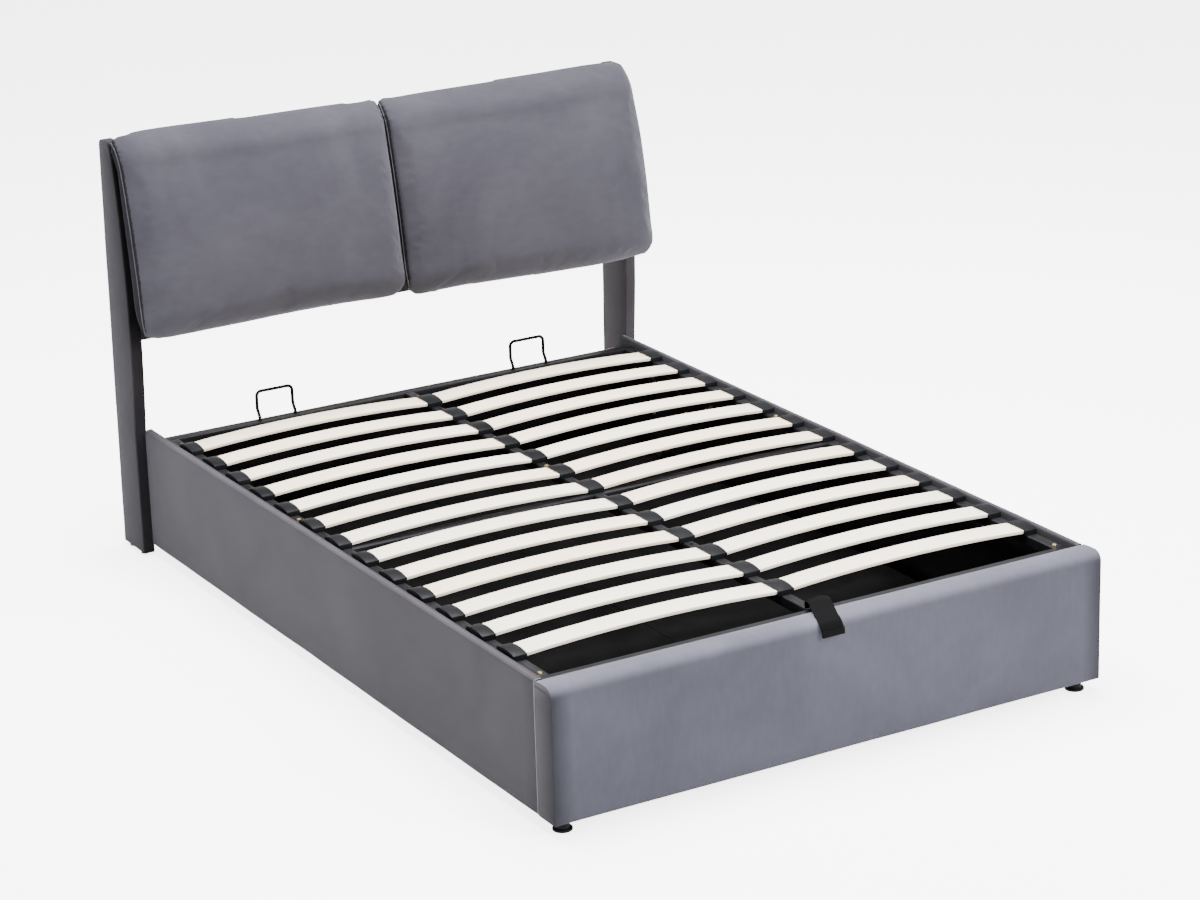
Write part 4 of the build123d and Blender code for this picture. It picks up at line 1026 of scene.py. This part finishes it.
# Lifting gear: steel plates bolted inside the side rails carry the hinge pins and the lower
# studs of two gas struts, whose tubes hang from brackets welded under the platform.
coated = made_finish(
    "black_coating", (17, 17, 19), (27, 27, 31), 800.0, 0.36, 0.5, 0.0002, specular=0.16
)
strut_paint = made_finish(
    "strut_paint", (20, 20, 22), (26, 26, 29), 1200.0, 0.2, 0.3, 0.00005, specular=0.3
)
rod_chrome = made_finish(
    "rod_chrome", (205, 206, 208), (178, 180, 184), 900.0, 0.1, 0.2, 0.00004, 1.0
)
for side, _ in sides:
    for node, piece_name, finish, body, slot, radius in (
        ("lift_plate", "rail_plate", coated, "bed_frame", "black_steel", 0.5 * mm),
        ("lift_pins", "hinge_pins", zinc, "bed_frame", "zinc_steel", 0.4 * mm),
        ("hinge_plate", "platform_hinge_plate", coated, "platform", "black_steel", 0.5 * mm),
        ("strut_bracket", "strut_hanger", coated, "platform", "black_steel", 0.5 * mm),
        ("strut_tube", "gas_tube", strut_paint, f"gas_strut_tube_{side}", "black_steel", 0.5 * mm),
        ("strut_rod", "gas_rod", rod_chrome, f"gas_strut_rod_{side}", "zinc_steel", 0.3 * mm),
    ):
        dressed(f"{node}_{side}", f"{piece_name}_{side}", finish, body, radius)

# Steel platform: welded black tube, its long rails each in two lengths joined over inner
# sleeves, with domed bolts on top. A batten behind the footboard carries its foot end.
for node in (
    "platform_foot_tube", "platform_head_tube", "centre_tube_foot", "centre_tube_head",
    "cross_bars", "tube_sleeves", "side_tube_foot_left", "side_tube_foot_right",
    "side_tube_head_left", "side_tube_head_right",
):
    dressed(node, f"steel_{node}", coated, "platform", 0.6 * mm)
dressed("platform_bolts", "steel_bolts", brass_zinc, "platform", 0.5 * mm)

# Mattress loops: two loops of bent round wire with a black coating, planted in the head rail
# and kinked back above their feet. They keep the mattress from sliding to the headboard.
loop_y, loop_middle, loop_radius = 0.92375, 0.378, 4.2 * mm
loop_low, loop_kink, loop_straight, loop_top = 0.313, 0.338, 0.3590, 0.4050
loop_half, loop_back = 0.051, 13 * mm
wire_black = made_finish(
    "black_wire", (10, 10, 11), (16, 16, 18), 900.0, 0.5, 0.65, 0.0001, specular=0.05
)
for side, hand in sides:
    rise = [
        (loop_y, loop_low), (loop_y, loop_kink), (loop_y + loop_back, loop_straight),
        (loop_y + loop_back, loop_top),
    ]
    legs = [
        [Vector((hand * loop_middle + x, y, z)) for y, z in rise] for x in (-loop_half, loop_half)
    ]
    corners = legs[0] + legs[1][::-1]
    path = rounded_path(corners, (9 * mm, 9 * mm, 13 * mm, 13 * mm, 9 * mm, 9 * mm), 8)
    loop = wire_piece(f"mattress_wire_{side}", path, loop_radius)
    loop.data.materials.append(wire_black)
    fitted(loop, "platform", f"mattress_loop_{side}")

# Slat holders: black plastic mouldings clipped on the rails, single ones at the sides and
# double ones on the centre rail, each with an arched cap over its socket.
for node in ("side_holders_left", "side_holders_right", "centre_holders"):
    dressed(node, f"moulded_{node}", moulded, "platform", 0.9 * mm, 30, 3)

# Sprung slats: pale birch laminations, pressed to a bend with their long edges rounded over,
# and sprung into the holders. Each has its own tone, a little warmer towards the head.
slat_pitch, first_slat = 0.1385, -0.86805
slat_finish = timber_finish(
    "birch_slats", (255, 253, 248), (250, 244, 234), (1.1, 22, 22), 0.5, 0.25
)
slat_tree = slat_finish.node_tree
slat_grain = next(node for node in slat_tree.nodes if node.type == "GROUP")
slat_tone = add_node(slat_tree, "Attribute", attribute_name="slat_tone")
slat_warmth = add_node(
    slat_tree, "Mix", {"A": srgb(255, 253, 245), "B": srgb(252, 238, 218)}, data_type="RGBA"
)
slat_mix = add_node(slat_tree, "Mix", {"Factor": 1.0}, data_type="RGBA", blend_type="MULTIPLY")
connect(
    slat_tree,
    (slat_tone, "Fac", slat_warmth, "Factor"),
    (slat_grain, "Colour", slat_mix, "A"),
    (slat_warmth, "Result", slat_mix, "B"),
    (slat_mix, "Result", slat_tree.nodes["Principled BSDF"], "Base Color"),
)
for side, hand in sides:
    slats = dressed(
        f"slats_{side}", f"birch_slats_{side}", slat_finish, "platform", 1.0 * mm, 40, 3
    )
    tone = slats.data.attributes.new("slat_tone", "FLOAT", "POINT")
    for vert in slats.data.vertices:
        row = round((vert.co.y - first_slat) / slat_pitch)
        own_tone = 0.9 * noise.noise(Vector((row * 3.7, hand * 5.1, 0.3)))
        tone.data[vert.index].value = part_of(0.45 + own_tone + 0.03 * row, 1.0)

# Pull strap: black webbing sewn to the foot rail, laid over the footboard and down its front
# at a slight slant, with its end folded back and stitched.
strap_width, strap_thickness = 58 * mm, 2.2 * mm
strap_lift, strap_end = 0.8 * mm, 0.309
strap_root, steel_top = -1.0035, 0.331
bend_y, bend_z = foot_front + foot_round, rail_top - foot_round
strap_radius = foot_round + strap_lift + strap_thickness / 2
strap_face = bend_y - strap_radius
strap_side = [
    (strap_root, steel_top + strap_thickness / 2 + 0.2 * mm), (strap_root - 1.5 * mm, 0.3515),
    (-1.030, 0.3530), (bend_y + 6 * mm, bend_z + strap_radius),
    (strap_face + 3 * mm, bend_z + strap_radius - 7 * mm), (strap_face - 7 * mm, 0.323),
    (strap_face - 9 * mm, strap_end),
]
strap_line = rounded_path(
    [Vector((0, y, z)) for y, z in strap_side], (5 * mm, 8 * mm, 12 * mm, 16 * mm, 14 * mm), 10
)


def webbing_piece(name, line, centre_at, arch_at):
    """Flat webbing along a line, shifted sideways and arched across by its share of the way."""
    lengths = [0.0]
    for before, after in zip(line, line[1:]):
        lengths.append(lengths[-1] + (after - before).length)
    total = lengths[-1]
    form = bmesh.new()
    bmesh.ops.create_grid(form, x_segments=12, y_segments=90, size=0.5, calc_uvs=True)
    for vert in form.verts:
        share = vert.co.y + 0.5
        reach = share * total
        index = max(i for i, length in enumerate(lengths[:-1]) if length <= reach + 1e-9)
        part = (reach - lengths[index]) / (lengths[index + 1] - lengths[index])
        place = line[index].lerp(line[index + 1], part)
        arch = arch_at(share) * (1 - (2 * vert.co.x) ** 2)
        vert.co = Vector((centre_at(share) + vert.co.x * strap_width, place.y, place.z + arch))
    bmesh.ops.recalc_face_normals(form, faces=form.faces)
    piece = new_piece(name, form, 60)
    add_modifier(piece, "thickness", "SOLIDIFY", thickness=strap_thickness, offset=0.0)
    add_modifier(piece, "rim", "BEVEL", width=0.5 * mm, segments=2)
    return piece, total


# Sideways places of the strap's middle and heights of its fold, in mm, from its root to its end
strap_slant = [(0.0, 13), (0.2, 10), (0.45, -4), (0.65, -16), (0.8, -21), (1.0, -21)]
strap_fold = [(0.0, 0), (0.14, 5), (0.3, 4), (0.5, 0), (1.0, 0)]
strap, strap_total = webbing_piece(
    "pull_webbing", strap_line,
    lambda share: read_off(strap_slant, share) * mm, lambda share: read_off(strap_fold, share) * mm,
)
hem_length = 15 * mm
hem_line = [
    strap_line[-1].lerp(strap_line[-2], share) + Vector((0, -strap_thickness - 0.15 * mm, 0))
    for share in (hem_length / (strap_line[-1] - strap_line[-2]).length, 0.03)
]
hem, _ = webbing_piece(
    "pull_webbing_hem", hem_line,
    lambda share: read_off(strap_slant, 1.0 - (1.0 - share) * hem_length / strap_total) * mm,
    lambda share: 0.0,
)
webbing, webbing_tree, webbing_shader = new_finish("black_webbing", 0.8, 0.06)
webbing_place = add_node(webbing_tree, "UVMap")
webbing_scale = add_node(webbing_tree, "Mapping", {"Scale": (29.0, 58.0, 1.0)})
ribs, picks = (
    add_node(
        webbing_tree, "TexWave", {"Scale": 1.0, "Distortion": waver, "Detail": 1.0},
        bands_direction=way,
    )
    for way, waver in (("X", 0.6), ("Y", 0.4))
)
weave = add_node(webbing_tree, "Math", operation="MULTIPLY")
webbing_shade = add_node(
    webbing_tree, "Mix", {"A": srgb(6, 6, 7), "B": srgb(15, 15, 17)}, data_type="RGBA"
)
webbing_bump = add_node(webbing_tree, "Bump", {"Strength": 0.7, "Distance": 0.0006})
connect(
    webbing_tree,
    (webbing_place, "UV", webbing_scale, "Vector"),
    (webbing_scale, "Vector", ribs, "Vector"),
    (webbing_scale, "Vector", picks, "Vector"),
    (ribs, "Fac", weave, 0),
    (picks, "Fac", weave, 1),
    (weave, "Value", webbing_shade, "Factor"),
    (weave, "Value", webbing_bump, "Height"),
    (webbing_shade, "Result", webbing_shader, "Base Color"),
    (webbing_bump, "Normal", webbing_shader, "Normal"),
)
for piece in (strap, hem):
    piece.data.materials.append(webbing)
    fitted(piece, "platform", "pull_strap")
